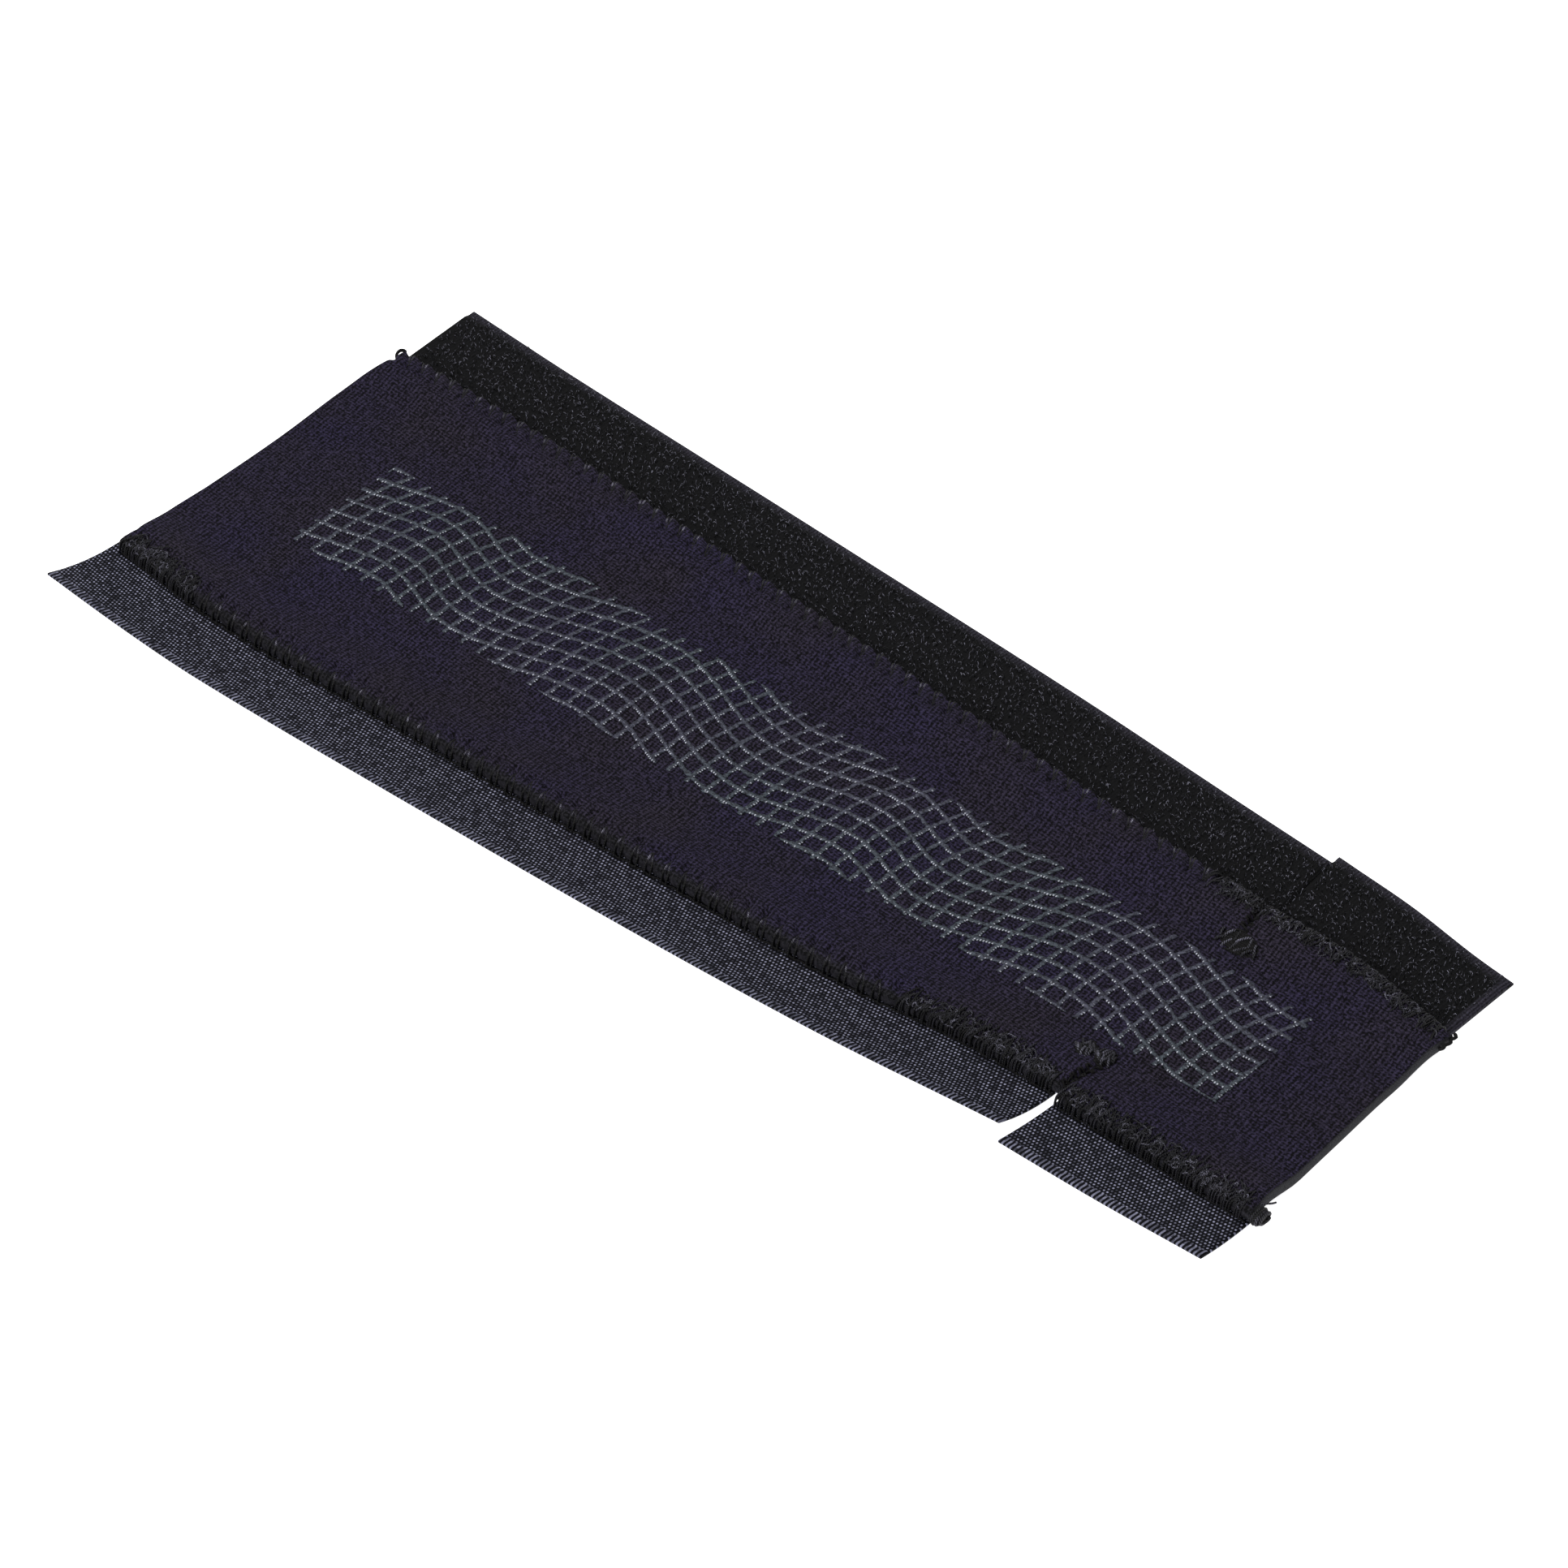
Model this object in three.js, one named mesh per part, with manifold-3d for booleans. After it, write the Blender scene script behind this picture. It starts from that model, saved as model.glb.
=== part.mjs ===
// Chainstay protector: a long tapered sheet of laminated neoprene that wraps a
// bicycle's chainstay and closes on itself with hook and loop tape. It lies flat
// as it comes from the bench, face up. X runs along it from the wide end to the
// narrow end, +Y points to the loop tape, and Z = 0 is the surface it lies on.

import * as THREE from 'three';
import { mergeVertices } from 'three/addons/utils/BufferGeometryUtils.js';
import Module from 'manifold-3d';

// Driving dimensions, in millimetres

const CLEARANCE = 0.3;            // left between pieces that lie on each other
const STATION_SPACING = 17;       // longest stretch of an edge made straight

const PANEL_THICKNESS = 2.5;      // jersey, foam, jersey
const PANEL_EDGE_THICKNESS = 2.0; // where the seam pulls the foam together
const PINCH_WIDTH = 4.5;          // how far in from an edge the foam is pulled
const RAMP_WIDTH = 10;            // where the panel comes down from the tape

const TAPE_OVERLAP = 4;           // of each tape under the panel's edge
const TAPE_SEAM_HEIGHT = 1.5;     // of each tape where the panel lies on it

const LOOP_SELVEDGE_HEIGHT = 0.6;
const LOOP_SELVEDGE_WIDTH = 1.6;
const LOOP_PILE_HEIGHT = 1.8;
const LOOP_PILE_START = 1.6;      // full pile, out from the panel's edge
const LOOP_PILE_SLOPE = 0.9;      // width of the pile's rounded flanks

const HOOK_BACKING = 0.5;
const HOOK_SELVEDGE_WIDTH = 2.4;
const HOOK_START = 1.2;           // first row of hooks, out from the panel's edge
const HOOK_ROWS = 6;
const HOOK_ROW_FOOT = 0.62;       // shares of the row spacing
const HOOK_ROW_CREST = 0.3;
const HOOK_CURL_MAIN = 3.0;       // rise of the outer edge of the long hook tape
const HOOK_CURL_END = 1.3;        // and of the short one

const DART_WIDTH = 0.9;           // at the panel's edge
const DART_TIP_WIDTH = 0.3;
const UPPER_DART_X = 88.4;        // at the panel's edge
const UPPER_DART_LENGTH = 7;
const LOWER_DART_X = 91.3;
const LOWER_DART_LENGTH = 8.5;
const DART_DRIFT = 0.9;           // of a dart's tip to the narrow end
const UPPER_TACK_DRIFT = 2.5;     // of the tack's middle, from the dart's edge
const LOWER_TACK_DRIFT = -0.9;
const UPPER_TACK_INSET = 10.5;    // of the tack's middle, in from the panel's edge
const LOWER_TACK_INSET = 10.9;
const TACK_WIDTH = 7;
const TACK_WAIST = 2.4;           // length of its stitches in the middle
const TACK_FLARE = 4.6;           // and at both sides

const LOOP_GAP = 0.4;             // between the long and the short loop tape
const HOOK_GAP = 1.7;             // between the long and the short hook tape

const THREAD_RADIUS = 0.22;
const MITRE_LIMIT = 2;            // longest point of a sharp bend, in thread radii
const STITCH_PITCH = 3.55;
const STITCH_DEPTH = 3.3;         // from the panel's edge to the needle hole
const STITCH_LEAN = 2.3;          // along the seam, from the edge to the hole
const OVERLOCK_PITCH = 1.9;       // where a seam is sewn over twice
const OVERLOCK_DEPTH = 4.0;
const OVERLOCK_LEAN = 1.1;
const UPPER_OVERLOCK_START = 78;
const LOWER_OVERLOCK_START = 58;
const BACKSTITCH_LENGTH = 20;     // at the wide end of the lower seam

const TAIL_TURNS = 4;             // chained tail where the lower seam runs off
const TAIL_RADIUS = 1.05;
const TAIL_LENGTH = 4.2;

const NET_THICKNESS = 0.2;
const NET_LINE = 0.8;
const NET_TOLERANCE = 0.02;       // kinks smaller than this are left out
const NET_ROW_PITCH = 4.0;
const NET_COLUMN_PITCH = 4.205;
const NET_ROW_OFFSET = -2.16;
const NET_COLUMN_OFFSET = 1.75;
const NET_LEAN = 0.0083;          // columns curve away with the square of height
const NET_LEAN_START = -11.5;
const NET_WINDOW = [[-104.7, -18.7], [111.7, -15.6], [111.7, 10.4], [-104.7, 8.4]];

// The long lines of the net swing between these crests and troughs, [x, height]

const NET_WAVE = [[-109, -2.4], [-85.5, 1.95], [-67, -2.55], [-32.2, 5], [-0.5, -2.85],
  [24.5, 1.9], [42.5, -2.15], [75, 5.85], [108.6, -1.7], [130, 3]];

// Edges along X, as points [x, y] in plan, and curves through them

const UPPER_SEAM = curve([[-127.6, 32.8], [-87, 32.5], [-27, 30.3], [33, 28], [90, 26],
  [108, 26.1], [131.2, 22.6]]);
const LOWER_SEAM_MAIN = curve([[-127.6, -41.2], [-98, -43.2], [-58, -41.7], [1, -38.5],
  [45, -36], [71, -32.5], [89.6, -31.4]]);
const LOWER_SEAM_END = curve([[90.6, -33.1], [111, -32.6], [132.6, -32.3]]);
const LOOP_OUTER_MAIN = curve([[-129, 52.9], [-99, 51.5], [-30, 49.4], [30, 47.4], [65, 45.5],
  [88, 44.4]]);
const LOOP_OUTER_END = curve([[88, 46.4], [104, 45.3], [120, 42.9], [129.4, 42]]);
const HOOK_OUTER_MAIN = curve([[-127.8, -56.9], [-107, -57.9], [-87, -58.1], [-47, -56.3],
  [13, -52.7], [53, -49.3], [89.2, -44.7]]);
const HOOK_OUTER_END = curve([[91.2, -46.7], [112, -45.8], [132.5, -44.3]]);

// The panel's two ends, as points [y, x]

const PANEL_LEFT_END = curve([[-41.2, -125.8], [-36.7, -125.3], [-33.4, -125.5], [-27, -126.4],
  [-20, -126.2], [0, -126.7], [17, -128], [21.6, -127.9], [28.3, -126.5], [32.8, -126.3]]);
const PANEL_RIGHT_END = curve([[-32.3, 132.6], [-8, 131.2], [9, 130.4], [22.6, 131.2]]);

// The tapes' ends, as x at the panel's edge and at the outer edge

const LOOP_LEFT_END = [-127.3, -128.4];
const LOOP_SPLIT = [89.7, 88];
const LOOP_RIGHT_END = [129.1, 129.3];
const HOOK_LEFT_END = [-127.5, -127.9];
const HOOK_SPLIT = [90.8, 90.3];
const HOOK_RIGHT_END = [132.6, 132.5];

// Loose loops at the ends of the upper seam, as points out along the seam, down
// from the panel's corner, and up from the tape

const LEFT_CORNER_LOOP = [[0.7, 2.4, 1.3], [1.7, 1.5, 1.8], [1.6, 0, 2.1], [0.6, -0.8, 1.5]];
const RIGHT_CORNER_LOOPS = [[0.7, -0.8, 1.5], [1.6, 0.2, 2], [0.7, 1.1, 1.5], [1.6, 2.2, 1.9],
  [0.7, 3.2, 1.3]];

// Helpers

const { lerp, smoothstep } = THREE.MathUtils;

/** A smooth function through points [a, b], with slopes taken from the neighbours. */
function curve(points) {
  const slope = (i) => {
    const before = points[Math.max(i - 1, 0)];
    const after = points[Math.min(i + 1, points.length - 1)];
    return (after[1] - before[1]) / (after[0] - before[0]);
  };
  return (a) => {
    let i = points.findIndex((point, k) => k > 0 && point[0] >= a) - 1;
    if (i < 0) i = a <= points[0][0] ? 0 : points.length - 2;
    const [[a0, b0], [a1, b1]] = [points[i], points[i + 1]];
    const span = a1 - a0;
    const t = Math.min(Math.max((a - a0) / span, 0), 1);
    const past = a - a0 - t * span;
    const rise = slope(i) * span * t * (1 - t) ** 2 - slope(i + 1) * span * t * t * (1 - t);
    return lerp(b0, b1, t * t * (3 - 2 * t)) + rise + past * slope(t < 1 ? i : i + 1);
  };
}

/** Evenly spaced values from first to last. */
function steps(first, last, count) {
  return Array.from({ length: count + 1 }, (_, i) => lerp(first, last, i / count));
}

/** Evenly spaced places from first to last, a station's spacing apart at most. */
function stations(first, last) {
  return steps(first, last, Math.ceil((last - first) / STATION_SPACING));
}

/** Closed solid from triangles over shared points. */
function solid(points, triangles) {
  const geometry = new THREE.BufferGeometry();
  geometry.setAttribute('position', new THREE.Float32BufferAttribute(points.flat(), 3));
  geometry.setIndex(triangles.flat());
  geometry.computeVertexNormals();
  return geometry;
}

/** Faces over one section of any outline, seen from +X. */
function outlineFaces(section) {
  const outline = section.map(([, y, z]) => new THREE.Vector2(y, z));
  return THREE.ShapeUtils.triangulateShape(outline, []).map((face) => (
    THREE.ShapeUtils.area(face.map((k) => outline[k])) > 0 ? face : face.reverse()));
}

/** Faces over a section whose lower row goes out and whose upper row comes back above it. */
function bandFaces(section) {
  const last = section.length - 1;
  return section.slice(0, last / 2).flatMap((_, i) => (
    [[i, i + 1, last - 1 - i], [i, last - 1 - i, last - i]]));
}

/**
 * Closed solid through a row of sections along +X. Every section is a ring of
 * points [x, y, z] of one count, anticlockwise seen from +X, with capped ends.
 */
function loft(sections, cap = outlineFaces(sections[0])) {
  const count = sections[0].length;
  const triangles = [];
  for (let i = 0; i + 1 < sections.length; i++) {
    for (let j = 0; j < count; j++) {
      const a = i * count + j;
      const b = i * count + (j + 1) % count;
      triangles.push([a, b, b + count], [a, b + count, a + count]);
    }
  }
  const last = (sections.length - 1) * count;
  for (const [a, b, c] of cap) {
    triangles.push([c, b, a], [last + a, last + b, last + c]);
  }
  return solid(sections.flat(), triangles);
}

/**
 * Thread with a three-sided section along a list of points [x, y, z]. At a bend
 * the section is drawn out to the corner, as in a mitre, and every four-sided
 * stretch is split along its shorter diagonal, which keeps tight bends open.
 */
function thread(route) {
  const path = route.map((point) => new THREE.Vector3(...point));
  const sides = 3;
  const points = [];
  const side = new THREE.Vector3(0, 0, 1);
  path.forEach((point, i) => {
    const behind = point.clone().sub(path[Math.max(i - 1, 0)]).normalize();
    const ahead = path[Math.min(i + 1, path.length - 1)].clone().sub(point).normalize();
    const along = ahead.clone().add(behind).normalize();
    const corner = behind.clone().sub(ahead).normalize();
    const draw = Math.min(1 / Math.max(along.dot(ahead), along.dot(behind)), MITRE_LIMIT);
    side.addScaledVector(along, -side.dot(along)).normalize();
    const other = along.clone().cross(side);
    for (let k = 0; k < sides; k++) {
      const angle = (2 * Math.PI * k) / sides;
      const out = side.clone().multiplyScalar(THREAD_RADIUS * Math.cos(angle))
        .addScaledVector(other, THREAD_RADIUS * Math.sin(angle));
      out.addScaledVector(corner, (draw - 1) * out.dot(corner));
      points.push(point.clone().add(out).toArray());
    }
  });
  const triangles = [[2, 1, 0]];
  const apart = (m, n) => Math.hypot(...points[m].map((value, axis) => value - points[n][axis]));
  for (let i = 0; i + 1 < path.length; i++) {
    for (let k = 0; k < sides; k++) {
      const [a, b] = [i * sides + k, i * sides + (k + 1) % sides];
      const [c, d] = [b + sides, a + sides];
      if (apart(a, c) < apart(b, d)) triangles.push([a, b, c], [a, c, d]);
      else triangles.push([a, b, d], [b, c, d]);
    }
  }
  const last = (path.length - 1) * sides;
  triangles.push([last, last + 1, last + 2]);
  return solid(points, triangles);
}

const wasm = await Module();
wasm.setup();

/** A closed geometry as a solid that can be joined and cut. */
function toManifold(geometry) {
  const bare = geometry.clone();
  bare.deleteAttribute('normal');
  bare.deleteAttribute('uv');
  const merged = mergeVertices(bare, 1e-5);
  return new wasm.Manifold(new wasm.Mesh({
    numProp: 3,
    vertProperties: new Float32Array(merged.attributes.position.array),
    triVerts: new Uint32Array(merged.index.array),
  }));
}

/** The way back, as a geometry. */
function fromManifold(shape) {
  const mesh = shape.getMesh();
  const geometry = new THREE.BufferGeometry();
  geometry.setAttribute('position', new THREE.BufferAttribute(mesh.vertProperties, 3));
  geometry.setIndex(new THREE.BufferAttribute(mesh.triVerts, 1));
  geometry.computeVertexNormals();
  return geometry;
}

/** Upright prism over an outline of points [x, y], from the height base to top. */
function prism(outline, base, top) {
  const shape = new THREE.Shape(outline.map(([x, y]) => new THREE.Vector2(x, y)));
  const geometry = new THREE.ExtrudeGeometry(shape, { depth: top - base, bevelEnabled: false });
  return geometry.translate(0, 0, base);
}

// Neoprene panel

const PANEL_SEAM_BASE = TAPE_SEAM_HEIGHT + CLEARANCE;

function lowerSeam(x) {
  return x < LOWER_DART_X ? LOWER_SEAM_MAIN(x) : LOWER_SEAM_END(x);
}

/** Height of the panel's underside, at a distance in from a seamed edge. */
function panelBase(inset) {
  return PANEL_SEAM_BASE * (1 - smoothstep(inset, PINCH_WIDTH, PINCH_WIDTH + RAMP_WIDTH));
}

/** Height of the panel's face there. */
function panelFace(inset) {
  const pulled = 1 - smoothstep(inset, 0, PINCH_WIDTH);
  return panelBase(inset) + lerp(PANEL_THICKNESS, PANEL_EDGE_THICKNESS, pulled);
}

/** A sewn-up cut in from the panel's edge, as a prism that cuts right through. */
function dartCut(x, edge, length) {
  const outside = edge + Math.sign(edge) * TAPE_OVERLAP;
  const tip = edge - Math.sign(edge) * length;
  const outline = [
    [x - DART_WIDTH / 2, outside], [x + DART_WIDTH / 2, outside],
    [x + DART_DRIFT + DART_TIP_WIDTH / 2, tip], [x + DART_DRIFT - DART_TIP_WIDTH / 2, tip],
  ];
  return prism(outline, -1, PANEL_SEAM_BASE + PANEL_THICKNESS + 1);
}

function buildPanel() {
  const left = PANEL_LEFT_END(0);
  const right = PANEL_RIGHT_END(0);
  const flat = PINCH_WIDTH + RAMP_WIDTH;
  const insets = [0, PINCH_WIDTH / 2, ...steps(PINCH_WIDTH, flat, 3)];
  const rings = [
    ...stations(left, LOWER_DART_X - DART_WIDTH / 2),
    ...stations(LOWER_DART_X + DART_WIDTH / 2, right),
  ].map((station) => {
    const [lower, upper] = [lowerSeam(station), UPPER_SEAM(station)];
    const share = (station - left) / (right - left);
    const nearEnd = Math.abs(2 * share - 1) ** 3;
    const row = (height) => [
      ...insets.map((inset) => [lower + inset, height(inset)]),
      ...steps(lower + flat, upper - flat, 3).slice(1, -1).map((y) => [y, height(flat)]),
      ...[...insets].reverse().map((inset) => [upper - inset, height(inset)]),
    ].map(([y, z]) => {
      const offset = lerp(PANEL_LEFT_END(y) - left, PANEL_RIGHT_END(y) - right, share);
      return [station + offset * nearEnd, y, z];
    });
    return [...row(panelBase), ...row(panelFace).reverse()];
  });
  const upperDart = dartCut(UPPER_DART_X, UPPER_SEAM(UPPER_DART_X), UPPER_DART_LENGTH);
  const lowerDart = dartCut(LOWER_DART_X, LOWER_SEAM_MAIN(LOWER_DART_X), LOWER_DART_LENGTH);
  return fromManifold(toManifold(loft(rings, bandFaces(rings[0])))
    .subtract(toManifold(upperDart))
    .subtract(toManifold(lowerDart)));
}

// Hook and loop tapes

/**
 * Tape along a seam. The section is a ring of points [share, inset, height]:
 * a point lies at that share of the open width plus the inset, outwards from
 * the panel's edge. start and end give x at the seam and at the outer edge, and
 * curl is how far the outer edge stands up.
 */
function buildTape({ seam, outer, start, end, section, curl = 0 }) {
  const outwards = Math.sign(outer(start[1]) - seam(start[0]));
  const ring = outwards > 0 ? section : [...section].reverse();
  return loft(stations(start[0], end[0]).map((station) => {
    const t = (station - start[0]) / (end[0] - start[0]);
    const width = Math.abs(outer(station) - seam(station));
    return ring.map(([share, inset, height]) => {
      const across = share * width + inset;
      const x = lerp(station, lerp(start[1], end[1], t), across / width);
      const rise = curl * Math.max(across / width, 0) ** 2;
      return [x, seam(x) + outwards * across, height + rise];
    });
  }));
}

/** x at the seam and at the outer edge, moved along the tape. */
function shifted(ends, distance) {
  return ends.map((x) => x + distance);
}

/** Woven selvedge on the outside, pile in the middle, pressed under the panel. */
function loopSection() {
  return [
    [0, -TAPE_OVERLAP, 0],
    [1, 0, 0],
    [1, 0, LOOP_SELVEDGE_HEIGHT],
    [1, -LOOP_SELVEDGE_WIDTH, LOOP_SELVEDGE_HEIGHT],
    [1, -LOOP_SELVEDGE_WIDTH - LOOP_PILE_SLOPE, LOOP_PILE_HEIGHT],
    [0, LOOP_PILE_START, LOOP_PILE_HEIGHT],
    [0, LOOP_PILE_START - LOOP_PILE_SLOPE, TAPE_SEAM_HEIGHT],
    [0, -TAPE_OVERLAP, TAPE_SEAM_HEIGHT],
  ];
}

/** Woven backing with rows of hooks on its underside, and a bare selvedge. */
function hookSection() {
  const hookBase = TAPE_SEAM_HEIGHT - HOOK_BACKING;
  const ring = [[0, -TAPE_OVERLAP, 0], [0, 0, 0]];
  for (let row = 0; row < HOOK_ROWS; row++) {
    const corners = [
      [(1 - HOOK_ROW_FOOT) / 2, hookBase],
      [(1 - HOOK_ROW_CREST) / 2, 0],
      [(1 + HOOK_ROW_CREST) / 2, 0],
      [(1 + HOOK_ROW_FOOT) / 2, hookBase],
    ];
    for (const [place, height] of corners) {
      const share = (row + place) / HOOK_ROWS;
      ring.push([share, HOOK_START * (1 - share) - HOOK_SELVEDGE_WIDTH * share, height]);
    }
  }
  ring.push([1, 0, hookBase]);
  for (const share of steps(1, 0, 5)) {
    ring.push([share, 0, TAPE_SEAM_HEIGHT]);
  }
  ring.push([0, -TAPE_OVERLAP, TAPE_SEAM_HEIGHT]);
  return ring;
}

// Printed net

/** Height of the long lines' wave: half cosines from crest to trough. */
function netWave(x) {
  const i = Math.max(NET_WAVE.findIndex(([place]) => place >= x), 1);
  const [[x0, y0], [x1, y1]] = [NET_WAVE[i - 1], NET_WAVE[i]];
  return lerp(y0, y1, (1 - Math.cos((Math.PI * (x - x0)) / (x1 - x0))) / 2);
}

/** One opening of the net: a cell's four corners, each half a line in from both its sides. */
function netOpening(corners) {
  return corners.map(([x, y], i) => {
    const [next, previous] = [corners[(i + 1) % 4], corners[(i + 3) % 4]];
    const ahead = new THREE.Vector2(next[0] - x, next[1] - y).normalize();
    const back = new THREE.Vector2(previous[0] - x, previous[1] - y).normalize();
    const step = NET_LINE / 2 / Math.abs(ahead.cross(back));
    return new THREE.Vector2(x, y).addScaledVector(ahead, step).addScaledVector(back, step);
  });
}

/** Where a long line and a cross line of the net meet. */
function netCrossing(row, column) {
  const rest = NET_COLUMN_OFFSET + column * NET_COLUMN_PITCH;
  let [x, y] = [rest, 0];
  for (let pass = 0; pass < 6; pass++) {
    y = NET_ROW_OFFSET + row * NET_ROW_PITCH + netWave(x);
    x = rest + NET_LEAN * Math.max(y - NET_LEAN_START, 0) ** 2;
  }
  return [x, y];
}

function buildNet() {
  const xs = NET_WINDOW.map(([x]) => x);
  const ys = NET_WINDOW.map(([, y]) => y);
  const [left, right] = [Math.min(...xs), Math.max(...xs)];
  const [low, high] = [Math.min(...ys), Math.max(...ys)];
  const swing = Math.max(...NET_WAVE.map(([, height]) => Math.abs(height)));
  const reach = NET_LEAN * (high - NET_LEAN_START) ** 2;
  const count = (from, to) => Array.from({ length: to - from + 1 }, (_, i) => from + i);
  const rows = count(
    Math.floor((low - swing - NET_ROW_OFFSET) / NET_ROW_PITCH),
    Math.ceil((high + swing - NET_ROW_OFFSET) / NET_ROW_PITCH),
  );
  const columns = count(
    Math.floor((left - reach - NET_COLUMN_OFFSET) / NET_COLUMN_PITCH),
    Math.ceil((right - NET_COLUMN_OFFSET) / NET_COLUMN_PITCH),
  );
  const cross = (row, column) => netCrossing(rows[row], columns[column]);
  const [lastRow, lastColumn] = [rows.length - 1, columns.length - 1];
  const outline = [
    ...columns.map((_, i) => cross(0, i)),
    ...rows.slice(1).map((_, j) => cross(j + 1, lastColumn)),
    ...columns.slice(1).map((_, i) => cross(lastRow, lastColumn - 1 - i)),
    ...rows.slice(2).map((_, j) => cross(lastRow - 1 - j, 0)),
  ];
  const shape = new THREE.Shape(outline.map(([x, y]) => new THREE.Vector2(x, y)));
  for (let j = 0; j < lastRow; j++) {
    for (let i = 0; i < lastColumn; i++) {
      const corners = [cross(j, i), cross(j, i + 1), cross(j + 1, i + 1), cross(j + 1, i)];
      shape.holes.push(new THREE.Path(netOpening(corners)));
    }
  }
  const sheet = new THREE.ExtrudeGeometry(shape, { depth: NET_THICKNESS, bevelEnabled: false });
  const window = toManifold(prism(NET_WINDOW, PANEL_THICKNESS - 1, PANEL_THICKNESS + 1));
  const pieces = toManifold(sheet.translate(0, 0, PANEL_THICKNESS)).intersect(window).decompose();
  const net = pieces.sort((a, b) => b.volume() - a.volume())[0];
  return fromManifold(net.asOriginal().simplify(NET_TOLERANCE));
}

// Sewing thread

const OVER_FACE = CLEARANCE + THREAD_RADIUS;

/** Stitches over the panel's edge: down beside it, back up, and in to the needle hole. */
function seamStitches(seam, inwards, from, to, pitch, depth, lean) {
  const route = [];
  const point = (x, inset, height) => [x, seam(x) + inwards * inset, height];
  const beside = -OVER_FACE;
  const tape = Math.max(TAPE_SEAM_HEIGHT, LOOP_PILE_HEIGHT);
  const low = tape + CLEARANCE + MITRE_LIMIT * THREAD_RADIUS;
  const count = Math.round((to - from) / pitch);
  for (const x of steps(from, to, count).slice(0, -1)) {
    route.push(point(x, beside, low));
    route.push(point(x + 0.15 * lean, beside, panelFace(0) + OVER_FACE));
    route.push(point(x + lean, depth, panelFace(depth) + OVER_FACE));
    route.push(point(x + 0.85 * pitch, beside, panelFace(0) + OVER_FACE));
  }
  return route;
}

function plainStitches(seam, inwards, from, to) {
  return seamStitches(seam, inwards, from, to, STITCH_PITCH, STITCH_DEPTH, STITCH_LEAN);
}

function overlockStitches(seam, inwards, from, to) {
  return seamStitches(seam, inwards, from, to, OVERLOCK_PITCH, OVERLOCK_DEPTH, OVERLOCK_LEAN);
}

/** Thread wound loosely round the corner at one end of the upper seam. */
function cornerThread(end, direction, places) {
  return places.map(([out, down, up]) => (
    [end + direction * out, UPPER_SEAM(end) - down, TAPE_SEAM_HEIGHT + up]));
}

function buildUpperSeamThread() {
  const left = PANEL_LEFT_END(UPPER_SEAM(LOOP_LEFT_END[0]));
  const right = PANEL_RIGHT_END(UPPER_SEAM(LOOP_RIGHT_END[0]));
  return thread([
    ...cornerThread(left, -1, LEFT_CORNER_LOOP),
    ...plainStitches(UPPER_SEAM, -1, left + 1, UPPER_OVERLOCK_START),
    ...overlockStitches(UPPER_SEAM, -1, UPPER_OVERLOCK_START, right - OVERLOCK_PITCH),
    ...cornerThread(right, 1, RIGHT_CORNER_LOOPS),
  ]);
}

function buildLowerSeamThread() {
  const left = PANEL_LEFT_END(LOWER_SEAM_MAIN(HOOK_LEFT_END[0])) + 1;
  const right = PANEL_RIGHT_END(LOWER_SEAM_END(HOOK_RIGHT_END[0]));
  const backstitched = left + BACKSTITCH_LENGTH;
  const [, ...startOnFace] = overlockStitches(LOWER_SEAM_MAIN, 1, left, backstitched);
  return thread([
    ...startOnFace,
    ...plainStitches(LOWER_SEAM_MAIN, 1, backstitched, LOWER_OVERLOCK_START),
    ...overlockStitches(LOWER_SEAM_MAIN, 1, LOWER_OVERLOCK_START, LOWER_DART_X - DART_WIDTH),
    ...overlockStitches(LOWER_SEAM_END, 1, LOWER_DART_X + DART_WIDTH, right - OVERLOCK_PITCH),
  ]);
}

/** Zigzag that closes a dart, and the bow-shaped tack that locks its tip. */
function buildDartStitch({ x, edge, length, tackDrift, tackInset }) {
  const inwards = -Math.sign(edge);
  const point = (place, inset, face) => [place, edge + inwards * inset, face + OVER_FACE];
  const first = OVERLOCK_DEPTH + CLEARANCE + 2 * THREAD_RADIUS;
  const last = Math.min(length, tackInset - TACK_FLARE / 2 - 2 * THREAD_RADIUS);
  const closing = steps(first, last, 2).map((inset, i) => {
    const middle = x + DART_DRIFT * (inset / length);
    return point(middle + (i % 2 ? 1 : -1) * DART_WIDTH, inset, panelFace(inset));
  });
  const tack = steps(-TACK_WIDTH / 2, TACK_WIDTH / 2, 9).map((across, i) => {
    const reach = lerp(TACK_WAIST, TACK_FLARE, Math.abs(2 * across) / TACK_WIDTH) / 2;
    const inset = tackInset + (i % 2 ? reach : -reach);
    return point(x + tackDrift + across, inset, panelFace(tackInset - TACK_FLARE / 2));
  });
  return thread([...closing, ...tack]);
}

/** Chained tail of thread where the lower seam runs off the narrow end. */
function buildThreadTail() {
  const seam = LOWER_SEAM_END(HOOK_RIGHT_END[0]);
  const x = PANEL_RIGHT_END(seam) + OVER_FACE + TAIL_RADIUS;
  const middle = TAPE_SEAM_HEIGHT + PANEL_EDGE_THICKNESS - TAIL_RADIUS / 2;
  return thread(steps(0, 1, TAIL_TURNS * 8).map((t) => {
    const angle = 2 * Math.PI * TAIL_TURNS * t;
    return [
      x + TAIL_RADIUS * Math.sin(angle),
      seam + TAIL_LENGTH * (t - 0.2),
      middle - TAIL_RADIUS * Math.cos(angle),
    ];
  }));
}

// Assembly

const cloth = (color, roughness) => new THREE.MeshStandardMaterial({ color, roughness, metalness: 0 });
const jersey = cloth(0x231f2e, 0.85);
const pile = cloth(0x151517, 0.95);
const woven = cloth(0x2b2c36, 0.8);
const sewing = cloth(0x1a1a1c, 0.7);
const print = cloth(0x4a505c, 0.55);

const protector = new THREE.Group();
protector.name = 'chainstay_protector';

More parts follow.
